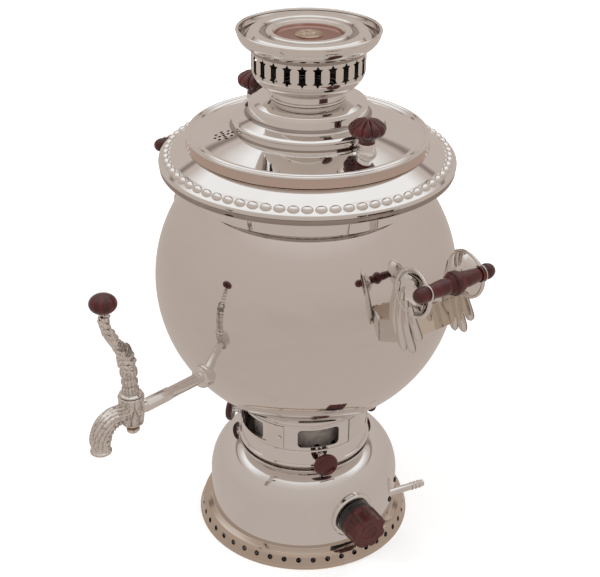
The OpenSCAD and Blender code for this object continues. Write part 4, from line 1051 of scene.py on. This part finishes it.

# %% [markdown]
# The crown is a sheet cup on the chimney that holds the pot plate and lets the hot gas out through
# its sides. Its pierced band repeats a small motif: a star over an upside-down star, joined by a
# waist. The punch is made from those outlines and used twenty-four times round. The rolled rim is
# joined on after punching, and the inside is darkened as painted shade.

# %% Pierced crown
def star(outer, inner, lift, turn):
    """Five-pointed star in (sideways, up) points."""
    points = [polar(turn + 36 * k, inner if k % 2 else outer) for k in range(10)]
    return [(x, lift + z) for x, z, _ in points]


CROWN_FOOT, CROWN_Z, DRUM_R, DRUM_TOP = 28.9, 434.0, 47.8, 469.0


def swell(foot, wide, high, curl, end=1.0):
    """A side that swings out from its foot: `curl` is the share of its rise that comes late."""
    return [(foot[0] + wide * math.sin(math.pi / 2 * u),
             foot[1] + high * (curl * (1 - math.cos(math.pi / 2 * u)) + (1 - curl) * u))
            for u in np.linspace(0, end, 14)]


cup_side = swell((32.9, CROWN_Z), 14.9, 18, 0.5)
flare_side = swell((DRUM_R, DRUM_TOP), 12.2, 15, 0.75, 0.93)
crown_line = rounded([(CROWN_FOOT, CROWN_Z), (32.0, CROWN_Z, 0.6)], 0.4) + cup_side + [(DRUM_R, 457)] + flare_side
crown_sheet = turned("crown_blank", walled(crown_line, 0.9), sheet_crown, 240)
crown_rim = turned("crown_rim", arc((59.0, 483.35), (1.5, 1.5), 0, 345, 23), sheet_crown, 240)
motif = peg("star_high", 12, star(4.5, 2.4, 462.3, 90), 42)
for more in (peg("star_low", 12, star(4.5, 2.4, 452.7, -90), 42),
             peg("waist", 12, wall_window(2.7, 452.5, 462.5, 0.5, 2), 42)):
    weld = motif.modifiers.new("weld", "BOOLEAN")
    weld.operation, weld.solver, weld.object = "UNION", "EXACT", more
    bpy.context.view_layer.update()
    mesh = bpy.data.meshes.new_from_object(motif.evaluated_get(bpy.context.evaluated_depsgraph_get()))
    motif.modifiers.clear()
    motif.data = mesh
    bpy.data.objects.remove(more)
cup = grown("crown_body", punched, Sheet=crown_sheet, Piece=motif, Count=24, First=7.5, Step=15.0,
            Finish=sheet_crown)
crown = joined("crown_cup", [cup, crown_rim], sheet_crown)
# The crown's inner faces below its top are darkened as painted shade, which shows through the stars.
done(shade_inside(lathe_normals(crown), inner_shade, 470), "crown_ring", "crown", slot="polished_steel")

# %% [markdown]
# The pot plate lies loose in the crown's flare. A raised ring carries the teapot, a second ring
# frames the middle, and grooves between them catch drips. In the centre sits a small rosette. Its
# petals are one height formula: the cosine of the angle lifts each petal, and the radius decides how
# much of it.

# %% Pot plate and rosette
PLATE_Z = 476.93
plate_steps = [(56.2, 0.6), (54.4, 0.1, 0.6), (51.2, 2.6, 1.4), (48.6, 4.4, 1.4), (41.6, 4.4, 0.9), (39.7, 2.4, 0.9),
               (36.8, 2.4, 0.9), (34.6, 4.4, 0.9), (30.4, 4.4, 0.9), (28.2, 0.4, 0.9), (0, 0.4)]
plate_line = rounded([(r, PLATE_Z + z, *corner) for r, z, *corner in plate_steps], 0.5, 6)
plate_over = [(r, z + 1.2) for r, z in reversed(plate_line)]
plate_rim = arc((56.2, PLATE_Z + 1.2), (0.32, 0.6), 90, -90, 4)
pot_plate = turned("pot_plate_disc", plate_over + plate_rim[1:-1] + plate_line, sheet_crown, 250)
done(pot_plate, "pot_plate", "top_plate", slot="polished_steel")


def petals(r, z, a):
    """Lifts eight petals inside the rosette and eight smaller ones between them."""
    if z < 478.7 or r > 9.6:
        return r, z
    first = abs(math.cos(4 * a)) ** 0.7 * math.sin(math.pi * held((r - 1.6) / 8.0)) ** 0.6
    second = abs(math.sin(4 * a)) ** 1.5 * math.sin(math.pi * held((r - 5.2) / 4.4)) ** 0.6
    return r, z + 0.62 * max(first, second * 0.8)


rosette_top = [(0, 479.8), (0.9, 479.7), (1.5, 479.2), (1.9, 478.95)]
rosette_top += [(r, 478.9) for r in np.arange(2.4, 9.7, 0.4)]
rosette_top += rounded([(9.7, 478.9), (10.2, 479.5, 0.3), (11.1, 479.6, 0.4), (11.5, 478.9, 0.3),
                        (11.5, 478.55)], 0.3, 4)
rosette = turned("rosette_disc", rosette_top + [(0, 478.55)], tinted, 192, shape=petals, angle=40)
done(rosette, "pot_plate", "top_ornament", slot="tinted_brass")

# %% [markdown]
# Bent and tapered castings are swept: a round section follows a middle line and changes its radius
# on the way. A second function can raise the skin at any angle of the section. It gives the spout
# its leaves and the lever its beads, and the low places are written into a colour attribute, so that
# the casting's finish paints shade into them.

# %% Sweep helper
def curve_through(points, steps=10):
    """Catmull-Rom curve through points of any number of coordinates."""
    p = [np.array(q, float) for q in points]
    p = [2 * p[0] - p[1]] + p + [2 * p[-1] - p[-2]]
    out = []
    for k in range(1, len(p) - 2):
        for i in range(steps):
            u = i / steps
            out.append(0.5 * (2 * p[k] + (p[k + 1] - p[k - 1]) * u
                              + (2 * p[k - 1] - 5 * p[k] + 4 * p[k + 1] - p[k + 2]) * u * u
                              + (3 * p[k] - p[k - 1] - 3 * p[k + 1] + p[k + 2]) * u ** 3))
    return out + [p[-2]]


def swept(name, path, radii, material, around=32, relief=None, flat=1.0, up=(0, 0, 1), angle=50):
    """A round section along a path; relief(share, angle) adds height and may go below zero."""
    path = [Vector(p[:3]) for p in path]
    n = len(path)
    way = [(path[min(k + 1, n - 1)] - path[max(k - 1, 0)]).normalized() for k in range(n)]
    side = way[0].cross(Vector(up))
    side = (side if side.length > 1e-3 else way[0].cross(Vector((1, 0, 0)))).normalized()
    verts, deep = [], []
    for k in range(n):
        side = (side - way[k] * side.dot(way[k])).normalized()
        top = side.cross(way[k])
        for j in range(around):
            a = 2 * math.pi * j / around
            extra = relief(k / (n - 1), a) if relief else 0.0
            r = max(radii[k] + extra, 0.02)
            verts.append(tuple(path[k] + side * r * math.cos(a) + top * r * math.sin(a) * flat))
            # Painted shade in the low places of the relief.
            deep.append(held(-extra / 0.5))
    faces = [(k * around + j, k * around + (j + 1) % around, (k + 1) * around + (j + 1) % around,
              (k + 1) * around + j) for k in range(n - 1) for j in range(around)]
    faces += [tuple(range(around - 1, -1, -1)), tuple((n - 1) * around + j for j in range(around))]
    made = new_piece(name, verts, faces, material, angle, merge=False)
    paint_groove_shade(made, deep)
    return made


def paint_groove_shade(piece, deep):
    """Writes how deep each point lies, 0 to 1, as painted shade for the casting's finish."""
    layer = piece.data.attributes.new("groove", "FLOAT_COLOR", "POINT")
    layer.data.foreach_set("color", np.repeat(np.array(deep, float), 4))


def shallow(piece):
    """Gives a piece no painted groove shade, so that it can be joined to one that has it."""
    paint_groove_shade(piece, [0.0] * len(piece.data.vertices))
    return piece


# %% [markdown]
# The tap screws into the bowl low down. Its pipe runs level to an upright barrel through octagon and
# rings, and the spout leaves the barrel, bends and points down. Leaves stand and hang round the
# barrel, long strokes run along the outside of the spout's bend, and scales cover its inside.

# %% Tap body
TAP_AT, TAP_Z, SPOUT_Z = 204.5, 205.5, 209.5
on_tap_axis = pose((0, 0, TAP_Z), (0, -1, 0))


def octagonal(r, z, a):
    """Turns a round section into a soft octagon where its radius is largest."""
    if r < 5.7:
        return r, z
    part = (a + math.pi / 8) % (math.pi / 4) - math.pi / 8
    return r * 0.935 / max(math.cos(part), 0.93), z


collar_line = rounded([(0.5, 120), (10, 120), (10, 130.2, 0.8), (8.6, 131.0, 0.4), (8.6, 132, 0.4), (4.7, 132),
                       (4.7, 120)], 0.3, 4)
tap_collar = turned("tap_collar_ring", [(max(r, 4.7), z) for r, z in collar_line], bright_turned, 96)
done(moved(tap_collar, on_tap_axis), "samovar", "tap_collar", slot="plated_casting")
pipe_line = rounded([(0, 110), (5.1, 110), (5.1, 164.2), (5.4, 164.6, 0.2), (5.4, 165.4, 0.2), (5.9, 165.8, 0.2),
                     (5.95, 166.6, 0.2), (5.95, 176), (5.95, 190.0, 0.3), (5.2, 191.0, 0.4), (5.2, 196),
                     (0, 196)], 0.2, 3)
pipe = moved(turned("pipe", pipe_line, tap_metal, 64, angle=24, shape=octagonal), on_tap_axis)

# %% Barrel with its leaves
def leaf_row(turns, up):
    """How far a row of standing leaves lifts a skin: turns counts the leaves, up is 0 at their root."""
    side = turns % 1 - 0.5
    tip = max(1 - abs(2 * side) ** 1.7, 0) ** 0.8
    inside = held((tip - up) / 0.1)
    rib = 1 - min(abs(side) / 0.05, 1)
    barbs = 0.5 + 0.5 * math.cos(2 * math.pi * (up * 5 - abs(side) * 5))
    return inside * (0.62 + 0.38 * (1 - abs(2 * side)) + 0.25 * rib - 0.3 * barbs * (1 - rib))


def barrel_skin(r, z, a):
    """Two rows of leaves round the barrel, one standing and one hanging."""
    if r < 7.5 or not 196.2 < z < 219.2:
        return r, z
    turns = a * 8 / (2 * math.pi)
    return r + 1.25 * max(leaf_row(turns, (z - 196.2) / 15), leaf_row(turns + 0.5, (219.2 - z) / 13)) - 0.75, z


barrel_side = [(7.1, 195.5)] + rounded([(7.1, 195.5), (8.4, 195.5, 0.3), (9.0, 196.2, 0.3)], 0.3, 3)
barrel_side += [(9.0 + 0.9 * min((z - 196.2) / 6, 1), z) for z in np.linspace(196.4, 219.0, 46)]
barrel_side += rounded([(9.9, 219.2), (10.3, 219.8, 0.3), (10.9, 220.4, 0.5), (10.9, 221.6, 0.5), (10.2, 222.5, 0.4),
                        (7.1, 222.5)], 0.3, 4)
barrel = turned("barrel", barrel_side, tap_metal, 200, shape=barrel_skin, angle=60)
print(f"barrel: {len(barrel.data.polygons)} faces")
# Painted shade: the skin between and under the leaves darkens the deeper it lies.
paint_groove_shade(barrel, [min(max((9.7 - math.hypot(v.co.x, v.co.y) / MM) / 1.3, 0), 0.7) * (197 < v.co.z / MM < 219)
                      for v in barrel.data.vertices])
shifted(barrel, 0, -TAP_AT)

# %% Spout
def feathers(share, a):
    """Strokes that sweep down both sides of the spout from a spine along its back, and scales inside."""
    from_top = abs((a + math.pi / 2) % (2 * math.pi) - math.pi)
    fade = min(share / 0.05, 1) * held((0.88 - share) / 0.04)
    strokes = 0.9 * abs(math.sin(7.5 * from_top + 9 * share)) ** 0.6 - 0.5
    tier = (share * 10 + 0.8 * from_top + 0.35 * abs(math.sin(5 * from_top))) % 1
    scales = 1.5 * tier ** 0.8 - 0.75
    inner = held((from_top - 1.35) / 0.5)
    return fade * (strokes * (1 - inner) + scales * inner)


bend = [Vector((0, -221.5 - 16.5 * math.sin(t), 193 + 16.5 * math.cos(t))) for t in np.linspace(0, math.pi / 2, 26)]
spout_path = [Vector((0, -y, SPOUT_Z)) for y in np.linspace(208, 221, 14)] + bend + [
    Vector((0, -238, z)) for z in np.linspace(192.2, 186.4, 8)]
spout_size = [6.9 + 1.7 * math.sin(math.pi / 2 * min(u / 0.6, 1)) - 0.9 * max(u - 0.8, 0) / 0.2
              for u in np.linspace(0, 1, len(spout_path))]
spout = swept("spout", spout_path, spout_size, tap_metal, 96, feathers, angle=70)
mouth_line = rounded([(5, 192), (7.2, 192), (7.3, 188.0), (8.0, 187.4, 0.3), (8.2, 186.6, 0.3), (7.8, 186.1, 0.2),
                      (8.6, 185.6, 0.3), (8.9, 184.6, 0.4), (8.8, 183.6, 0.4), (8.2, 183.05, 0.3),
                      (6.0, 183.0, 0.4), (5, 184.2, 0.4)], 0.3, 4)
mouth = shifted(turned("mouth", mouth_line, tap_metal, 72), 0, -238)
for face in pipe.data.polygons:
    face.material_index = 1
tap_body = joined("tap_casting", [barrel, spout, shallow(mouth), shallow(pipe)])
tap_body.data.materials.append(bright_turned)
done(tap_body, "samovar", "tap_body", slot="plated_casting")

# %% [markdown]
# The plug's lever rises in beads, then leans outwards to a resin button. Many small cast lumps,
# thrown with a fixed seed along a spiral, give its leaning part the look of crowded foliage, and a
# few curled leaves stand out from it.

# %% Lever with cast lumps
LEVER_LEAN, LEVER_FOOT, LEVER_TOP = 20.9, 225.8, 308.5
lever_points = [(0.00, 0.000, 6.9), (0.00, 0.020, 7.3), (0.01, 0.050, 7.1), (0.01, 0.070, 6.0), (0.02, 0.085, 6.1),
                (0.02, 0.105, 7.0), (0.025, 0.135, 7.0), (0.025, 0.155, 6.0), (0.03, 0.175, 6.0), (0.035, 0.20, 7.1),
                (0.04, 0.235, 7.5), (0.045, 0.265, 7.0), (0.05, 0.285, 5.8), (0.055, 0.31, 5.7), (0.07, 0.33, 6.6),
                (0.10, 0.365, 7.0), (0.14, 0.41, 6.4), (0.21, 0.455, 5.4), (0.31, 0.50, 4.6), (0.43, 0.55, 4.2),
                (0.53, 0.595, 4.1), (0.63, 0.64, 4.2), (0.73, 0.69, 4.0), (0.84, 0.74, 3.7), (0.92, 0.79, 3.7),
                (0.97, 0.84, 3.8), (1.0, 0.89, 4.0), (1.0, 0.935, 4.0), (1.0, 0.965, 3.4), (1.0, 1.0, 3.1)]
dice = np.random.default_rng(11)
LUMPS = 84
lumps = [(0.39 + 0.6 * k / LUMPS, 2.4 * k % (2 * math.pi), dice.uniform(0.020, 0.036), dice.uniform(0.5, 0.85),
          dice.uniform(1.1, 2.5)) for k in range(LUMPS)]


def lever_spot(lean, up):
    """A point on the lever's middle line, from shares of its lean and its height."""
    return (0, -TAP_AT - LEVER_LEAN * lean, LEVER_FOOT + (LEVER_TOP - LEVER_FOOT) * up)


lever_curve = curve_through([(*lever_spot(lean, up), r) for lean, up, r in lever_points], 6)


def lever_relief(share, a):
    """Slanting cast leaves all over the leaning part; the beads of the foot are only lightly chased."""
    level = held((share - 0.38) / 0.06) * held((0.98 - share) / 0.03)
    high = 0.0
    for at, turn, long, wide, height in lumps:
        side = (a - turn + math.pi) % (2 * math.pi) - math.pi
        off = ((share - at - 0.02 * side) / long) ** 2 + (side / wide) ** 2
        if off < 1:
            high = max(high, height * math.sqrt(1 - off))
    return level * (high - 0.6) - (1 - level) * 0.22 * abs(math.sin(7 * a)) ** 6


lever = swept("lever", lever_curve, [p[3] - 0.1 for p in lever_curve], tap_metal, 72, lever_relief,
              up=(1, 0, 0), angle=70)

# %% Leaves and button
def leaf(name, root, tip, width, lift):
    """A pointed curled leaf from one point to another in the plane of the tap."""
    root, tip = Vector(root), Vector(tip)
    line = curve_through([tuple(root), tuple(root.lerp(tip, 0.4) + Vector(lift)), tuple(tip)], 8)
    radii = [width * (0.55 + 0.45 * math.sin(math.pi * min(u * 0.9 + 0.08, 1)) ** 0.6) * math.sqrt(1 - u ** 6)
             + 0.25 for u in np.linspace(0, 1, len(line))]
    return swept(name, line, radii, tap_metal, 24, lambda s, a: -0.45 * abs(math.sin(3 * a + 9 * s)),
                 up=(1, 0, 0), angle=60)


sprigs = [leaf("sprig_0", lever_spot(0.12, 0.38), lever_spot(0.10, 0.565), 4.6, (0, 1.0, 0)),
          leaf("sprig_1", lever_spot(0.05, 0.33), lever_spot(-0.16, 0.45), 3.6, (0, 0.8, 0)),
          leaf("sprig_2", lever_spot(0.28, 0.46), lever_spot(0.24, 0.565), 3.6, (0, 0.4, 0)),
          leaf("sprig_3", lever_spot(0.08, 0.31), lever_spot(0.40, 0.39), 2.8, (0, -0.4, -0.6))]
for k, out in enumerate((-3.4, 3.4)):
    for n, (lean, low, high) in enumerate(((0.10, 0.33, 0.46), (0.20, 0.44, 0.55), (0.42, 0.53, 0.64))):
        side_leaf = leaf(f"side_leaf_{k}_{n}", lever_spot(lean, low), lever_spot(lean + 0.02, high), 3.0,
                         (out * 0.3, 0, 0))
        sprigs.append(shifted(side_leaf, out, 0))
done(joined("lever_casting", [lever] + sprigs), "tap_control", "tap_lever", slot="plated_casting")

button_side = [(0, 308.7), (3.4, 308.7)] + rounded([(3.4, 308.7), (5.6, 309.0, 0.5), (6.6, 309.6)], 0.4, 3)
button_side += arc((0, 315), (11.2, 8), -50, 90, 28)
button = shifted(turned("lever_button", button_side, resin, 96), 0, -TAP_AT - LEVER_LEAN)
done(button, "tap_control", "tap_knob", slot="red_brown_plastic")


# %% [markdown]
# The ground plug turns inside the barrel. A washer and a hexagon nut under the barrel turn with it
# and hold it down. The washer and the nut's upper half are dark brown.

# %% Plug, nut and washer
def hexagonal(r, z, a):
    """A hexagon nut with turned-off corners."""
    if r < 4.6:
        return r, z
    part = (a + math.pi / 6) % (math.pi / 3) - math.pi / 6
    return min(5.2 / math.cos(part), 5.95 if 189.0 < z < 192.6 else 5.5), z


nut_side = [(4.02, 188.3), (4.9, 188.3), (5.5, 188.5), (5.9, 189.1), (5.95, 189.4), (5.95, 191), (5.95, 192.3),
            (5.9, 192.7), (5.5, 193.15), (4.02, 193.2)]
nut = turned("hex", nut_side, tap_metal, 192, shape=hexagonal, angle=25)
nut.data.materials.append(nut_metal)
washer_side = rounded([(4.02, 193.25), (5.6, 193.25), (6, 193.6, 0.3), (6, 194.8, 0.3), (5.6, 195.15),
                       (4.02, 195.15)], 0.2)
washer = turned("washer", washer_side, nut_metal, 72)
for piece in (nut, washer):
    for face in piece.data.polygons:
        face.material_index = 1 if face.center.z > 190.4 * MM else 0
under_barrel = joined("tap_nut_pair", [shallow(nut), shallow(washer)])
done(shifted(under_barrel, 0, -TAP_AT), "tap_control", "tap_nut", slot="plated_casting")
plug_line = rounded([(0, 186.3), (3.4, 186.3), (3.9, 186.8, 0.3), (3.9, 195.2), (6.98, 195.2), (6.98, 222.85),
                     (9.2, 222.85), (9.6, 223.2, 0.3), (9.6, 224.3, 0.5), (8.4, 225.1, 0.4), (7.7, 225.2),
                     (7.7, 225.75), (0, 225.75)], 0.15, 3)
plug = shifted(turned("ground_plug", plug_line, bright_turned, 96), 0, -TAP_AT)
done(plug, "tap_control", "tap_plug", slot="brass")

# %% [markdown]
# Each side handle is a resin grip between two cast ears. The ears' heads are cupped and rolled round
# the rim, and below them four flat fingers sweep down like those of a shell. The browned bridge
# between the ears stands on two legs, whose feet are riveted to the bowl.

# %% Flat plates for the handles
GRIP_AT, GRIP_Z, EAR_IN = 188.0, 329.0, 26.0
HEAD_AT, HEAD_Z = 172.0, 322.0
BRIDGE_AT, BRIDGE_Z, BRIDGE_LEAN = 157.5, 281.0, 25
SIDE_TURN, SOFT_EDGE = -9.0, 0.5


def slab(name, outline, near, far, material):
    """A flat plate across the handle: outline in (outwards, up), between two distances, with soft edges."""
    n = len(outline)
    middle = Vector((sum(p[0] for p in outline) / n, sum(p[1] for p in outline) / n))
    inner = []
    for k in range(n):
        a, b, c = Vector(outline[k - 1]), Vector(outline[k]), Vector(outline[(k + 1) % n])
        way = (b - a).normalized() + (c - b).normalized()
        inner.append(tuple(b - Vector((way.y, -way.x)).normalized() * SOFT_EDGE))
    layers = [(inner, near), (outline, near + SOFT_EDGE), (outline, far - SOFT_EDGE), (inner, far)]
    verts = [(x, y, z) for line, y in layers for x, z in line]
    faces = [(i * n + k, i * n + (k + 1) % n, (i + 1) * n + (k + 1) % n, (i + 1) * n + k)
             for i in range(3) for k in range(n)]
    faces += [tuple(range(n)), tuple(3 * n + k for k in range(n - 1, -1, -1))]
    return new_piece(name, verts, faces, material, 40, merge=False)


# %% Ears
CUP_R, DOME_T, BULGE = 18.3, 1.8, 9.0
DOME_BALL = (CUP_R ** 2 + BULGE ** 2) / (2 * BULGE)
DOME_AT = 0.4 - BULGE + DOME_BALL
finger_lines = [((153.6, 326.0), (150.5, 298.0), (156.0, 276.0), 3.4),
                ((157.4, 318.0), (157.6, 291.0), (165.2, 266.4), 4.6),
                ((162.0, 312.0), (166.5, 289.0), (176.0, 270.0), 4.8),
                ((168.0, 308.0), (174.5, 297.0), (182.5, 283.8), 4.6)]
print(f"an ear has {len(finger_lines)} fingers under a head cupped by {BULGE} mm")


def ear(name, side, s):
    """One ear, at side angle `side` and on the grip's end s: a cupped head over four flat fingers."""
    cup = [(r, DOME_AT - math.sqrt(DOME_BALL ** 2 - r * r)) for r in np.linspace(0, CUP_R, 22)]
    dish = [(r, DOME_AT - math.sqrt((DOME_BALL - DOME_T) ** 2 - r * r)) for r in np.linspace(17.0, 0, 24)]
    rim = rounded([(CUP_R, 0.35), (19.4, 0.1, 0.5), (20.5, 0.7, 0.6), (20.7, 2.2, 0.8), (20.2, 3.3, 0.7),
                   (19.2, 3.6, 0.6), (18.1, 3.2, 0.6), (17.5, 2.4, 0.3), (17.0, 1.6)], 0.3, 5)

    def pocket(r, z, a):
        """Deepens the cup towards the bowl and lowers its rim where the fingers leave it."""
        x, y = r * math.cos(a), s * r * math.sin(a)
        deeper = 2.2 * math.exp(-((x + 6.0) ** 2 + (y - 5.0) ** 2) / 60.0) * held((18.0 - r) / 3)
        lower = max(math.cos(math.atan2(y, x) + math.radians(112)), 0) ** 2
        return r, z - deeper - lower * max(z - 0.8, 0) * 0.8

    head = turned(name + "_head", cup + rim[1:-1] + dish, casting, 128, angle=50, shape=pocket)
    # Painted shade in the crease where the rolled rim meets the dish.
    paint_groove_shade(head, [0.75 * max(0, 1 - abs(math.hypot(v.co.x, v.co.y) / MM - 17.4) / 0.8)
                        if v.co.z > 0.001 else 0.0 for v in head.data.vertices])
    moved(head, pose((HEAD_AT, s * EAR_IN, HEAD_Z), (0, s, 0)))
    parts, y = [head], s * (EAR_IN + 1.5)
    for k, (root, middle, tip, start) in enumerate(finger_lines):
        line = curve_through([(root[0], y, root[1]), (middle[0], y + s * 0.5, middle[1]), (tip[0], y, tip[1])], 14)
        n = len(line) - 1
        radii = [(start + (5.5 - start) * min(u / 0.75, 1))
                 * math.sqrt(max(1 - (max(u - 0.84, 0) / 0.16) ** 2, 0.002)) for u in (i / n for i in range(n + 1))]
        parts.append(swept(f"{name}_finger_{k}", line, radii, casting, 40,
                           lambda u, a: -0.4 * abs(math.cos(a)) ** 12, flat=0.34, up=(0, 1, 0), angle=60))
    web = [(155, 312), (152, 297), (153, 286), (156, 281), (163, 278), (171, 281), (175, 290), (171, 302), (174, 305)]
    plate = slab(name + "_web", web, *sorted((s * (EAR_IN + 0.3), s * (EAR_IN + 1.7))), casting)
    # Painted shade over the whole web plate behind the fingers.
    paint_groove_shade(plate, [0.15] * len(plate.data.vertices))
    socket = rounded([(6.4, -1.0), (6.6, -1.0, 0.1), (6.6, 1.7, 0.2), (7.2, 2.0, 0.3), (7.2, 2.7, 0.3),
                      (6.4, 3.0, 0.2), (2.1, 3.0), (2.1, 0), (6.4, 0)], 0.3, 4)
    boss = turned(name + "_boss", socket, casting, 64)
    for face in boss.data.polygons:  # the ring's lower part sits in a resin collar
        face.material_index = 1 if face.center.z < 1.9 * MM else 0
    moved(boss, pose((GRIP_AT, s * EAR_IN, GRIP_Z), (0, s, 0)))
    made = joined(name, parts + [plate, shallow(boss)], casting)
    made.data.materials.append(resin)
    return swung(made, side)


# %% Straps
PAD_LOW, PAD_HIGH, PAD_WIDE, PAD_CORNER, CELLS = 261.0, 17.0, 16.0, 2.4, 10
PAD_OUT, PAD_IN = 136.6, 134.4
print(f"a strap's foot covers {PAD_WIDE} x {PAD_HIGH} mm of the bowl")


def strap_foot(name, s):
    """The pad that lies on the bowl, a sheet of cells with its two inner corners rounded off."""
    verts = []
    for lift in (PAD_OUT, PAD_IN):
        for i in range(CELLS + 1):
            for j in range(CELLS + 1):
                y, z = s * (EAR_IN - PAD_WIDE * j / CELLS), PAD_LOW + PAD_HIGH * i / CELLS
                if j > CELLS - 2:
                    over = max(abs(i / CELLS - 0.5) * PAD_HIGH - (PAD_HIGH / 2 - PAD_CORNER), 0)
                    inset = PAD_CORNER - math.sqrt(max(PAD_CORNER ** 2 - over ** 2, 0))
                    y = s * (abs(y) + inset * (j - CELLS + 2) / 2)
                soft = SOFT_EDGE if lift == PAD_OUT and (i in (0, CELLS) or j in (0, CELLS)) else 0.0
                verts.append((math.sqrt((lift - soft) ** 2 - (z - BOWL_Z) ** 2 - y * y), y, z))
    row, layer = CELLS + 1, (CELLS + 1) ** 2
    faces = [(b + i * row + j, b + i * row + j + 1, b + (i + 1) * row + j + 1, b + (i + 1) * row + j)
             for b in (0, layer) for i in range(CELLS) for j in range(CELLS)]
    edge = list(range(row)) + [i * row + CELLS for i in range(1, row)]
    edge += [CELLS * row + j for j in range(CELLS - 1, -1, -1)] + [i * row for i in range(CELLS - 1, 0, -1)]
    faces += [(a, b, layer + b, layer + a) for a, b in zip(edge, edge[1:] + edge[:1])]
    return new_piece(name, verts, faces, casting, 35, merge=False)


def strap(name, side):
    """The bridge between the ears, its two legs and the feet on the bowl."""
    tilt = Matrix.Translation(Vector((BRIDGE_AT, 0, BRIDGE_Z)) * MM)
    tilt = tilt @ Matrix.Rotation(-math.radians(BRIDGE_LEAN), 4, "Y")
    bridge, leg = [(-2.4, -10), (0, -10), (0, 10), (-2.4, 10)], [(-34, -9), (-1, -10), (-1, 10), (-34, 10)]
    band = moved(slab(name + "_bridge", bridge, -EAR_IN, EAR_IN, bridge_metal), tilt)
    done(shallow(swung(band, side)), "samovar", slot="plated_casting")
    parts = []
    for s in (-1, 1):
        near, far = sorted((s * (EAR_IN - 2.4), s * EAR_IN))
        parts.append(moved(slab(f"{name}_leg_{s}", leg, near, far, casting), tilt))
        parts.append(strap_foot(f"{name}_foot_{s}", s))
    return swung(joined(name, [shallow(p) for p in parts], casting), side)


# %% [markdown]
# The grip is two slim barrels with a ring between, on a steel rod, and an acorn-shaped finial ends
# the rod outside each ear. Two round rivets hold each foot of a strap.

# %% Both handles
def on_grip(piece, side, s=1):
    """Lays a piece turned round +Z along a grip's axis, towards its end s."""
    return swung(moved(piece, pose((GRIP_AT, 0, GRIP_Z), (0, s, 0))), side)


half_grip = [(5.4, 25.9), (5.5, 25.2), (5.9, 22), (6.5, 17), (6.8, 12), (6.5, 8), (6.3, 6.6), (7.2, 6.2), (8.2, 5.6),
             (8.3, 4.8), (7.8, 4.0), (7.9, 3.4), (9.2, 3.0), (9.9, 2.2), (10.0, 1.0)]
grip_line = rounded([(2.2, 25.9)] + half_grip + [(r, -z) for r, z in reversed(half_grip)] + [(2.2, -25.9)], 0.6, 3)
finial_line = rounded([(2.2, 29.05), (5.0, 29.05, 0.4), (6.3, 29.6, 0.5), (6.5, 30.8, 0.6), (5.9, 31.6, 0.3),
                       (5.9, 32.0, 0.3), (6.5, 32.6, 0.6), (6.5, 34.5, 1.5), (5.9, 37.0, 2), (4.6, 39.3, 1.8),
                       (2.6, 40.6, 1.4), (0, 41, 2)], 0.5, 6)
rivet_line = rounded([(0, 133.5), (1.6, 133.5), (1.6, 136.5), (2.4, 136.65, 0.3), (2.3, 137.2, 0.4), (1.2, 137.75, 0.4),
                      (0, 137.8)], 0.3, 4)
finials, rivets = [], []
for word, turn in (("right", 0), ("left", 180)):
    side = SIDE_TURN + turn
    done(strap(f"{word}_strap_casting", side), "samovar", f"{word}_strap", slot="plated_casting")
    for end, s in (("front", -1), ("rear", 1)):
        done(ear(f"{word}_{end}_ear_casting", side, s), "samovar", f"{word}_{end}_ear", slot="plated_casting")
        finials.append(on_grip(turned(f"finial_{word}_{end}", finial_line + [(0, 29.05)], resin, 64), side, s))
        for lift in (3.0, 6.8):
            rivet = turned(f"rivet_{word}_{end}_{lift}", rivet_line, casting, 32)
            yaw, rise = math.radians(side + s * 7.06), math.radians(lift)
            aim = (math.cos(yaw) * math.cos(rise), math.sin(yaw) * math.cos(rise), math.sin(rise))
            rivets.append(moved(rivet, pose((0, 0, BOWL_Z), aim)))
    done(on_grip(turned(f"{word}_grip_barrel", grip_line, resin, 96), side), "samovar", f"{word}_grip",
         slot="red_brown_plastic")
done(joined("grip_end_caps", finials), "samovar", "grip_finials", slot="red_brown_plastic")
done(joined("strap_rivet_heads", [shallow(r) for r in rivets]), "samovar", "strap_rivets", slot="plated_casting")

# %% [markdown]
# The gas enters through a short tail beside the knob: a plain plated shank with three barbs that
# bite into the hose. Two small blackened screws hold its flange from inside.

# %% Gas inlet
INLET_TURN, INLET_WAY, INLET_Z = 22.9, 70.1, 38.0
inlet_root, inlet_way = Vector(polar(INLET_TURN, 90, INLET_Z)), polar(INLET_WAY, 1)
tail_side = [(2.0, -14), (3.5, -14), (3.5, 20.6), (3.3, 21.2)]
for k in range(3):
    at = 22.0 + 4 * k
    tail_side += [(3.3, at), (3.95, at + 0.5), (4.0, at + 0.9), (3.7, at + 1.8), (3.35, at + 3.6)]
tail_side += rounded([(3.3, 33.8), (3.3, 35.2, 0.5), (2.8, 36, 0.3), (2.0, 36), (2.0, 30)], 0.3, 4)
tail = turned("hose_tail", tail_side, bright_turned, 64)
done(moved(tail, pose(inlet_root, inlet_way)), "samovar", "inlet_tail", slot="plated_casting")
screw_side = rounded([(0, -2), (1.5, -2), (1.5, 0), (2.6, 0.05), (2.55, 0.8, 0.4), (1.8, 1.35, 0.4), (1.0, 1.5),
                      (0.9, 0.9, 0.1), (0, 0.9)], 0.2, 4)
black_screws = [moved(turned(f"inlet_screw_{k}", screw_side, iron, 40), pose(polar(turn, 90, z), polar(turn, 1)))
                for k, (turn, z) in enumerate(((20.9, 32), (32.9, 42)))]
done(joined("inlet_screw_pair", black_screws), "samovar", "inlet_screws", slot="plain_steel")
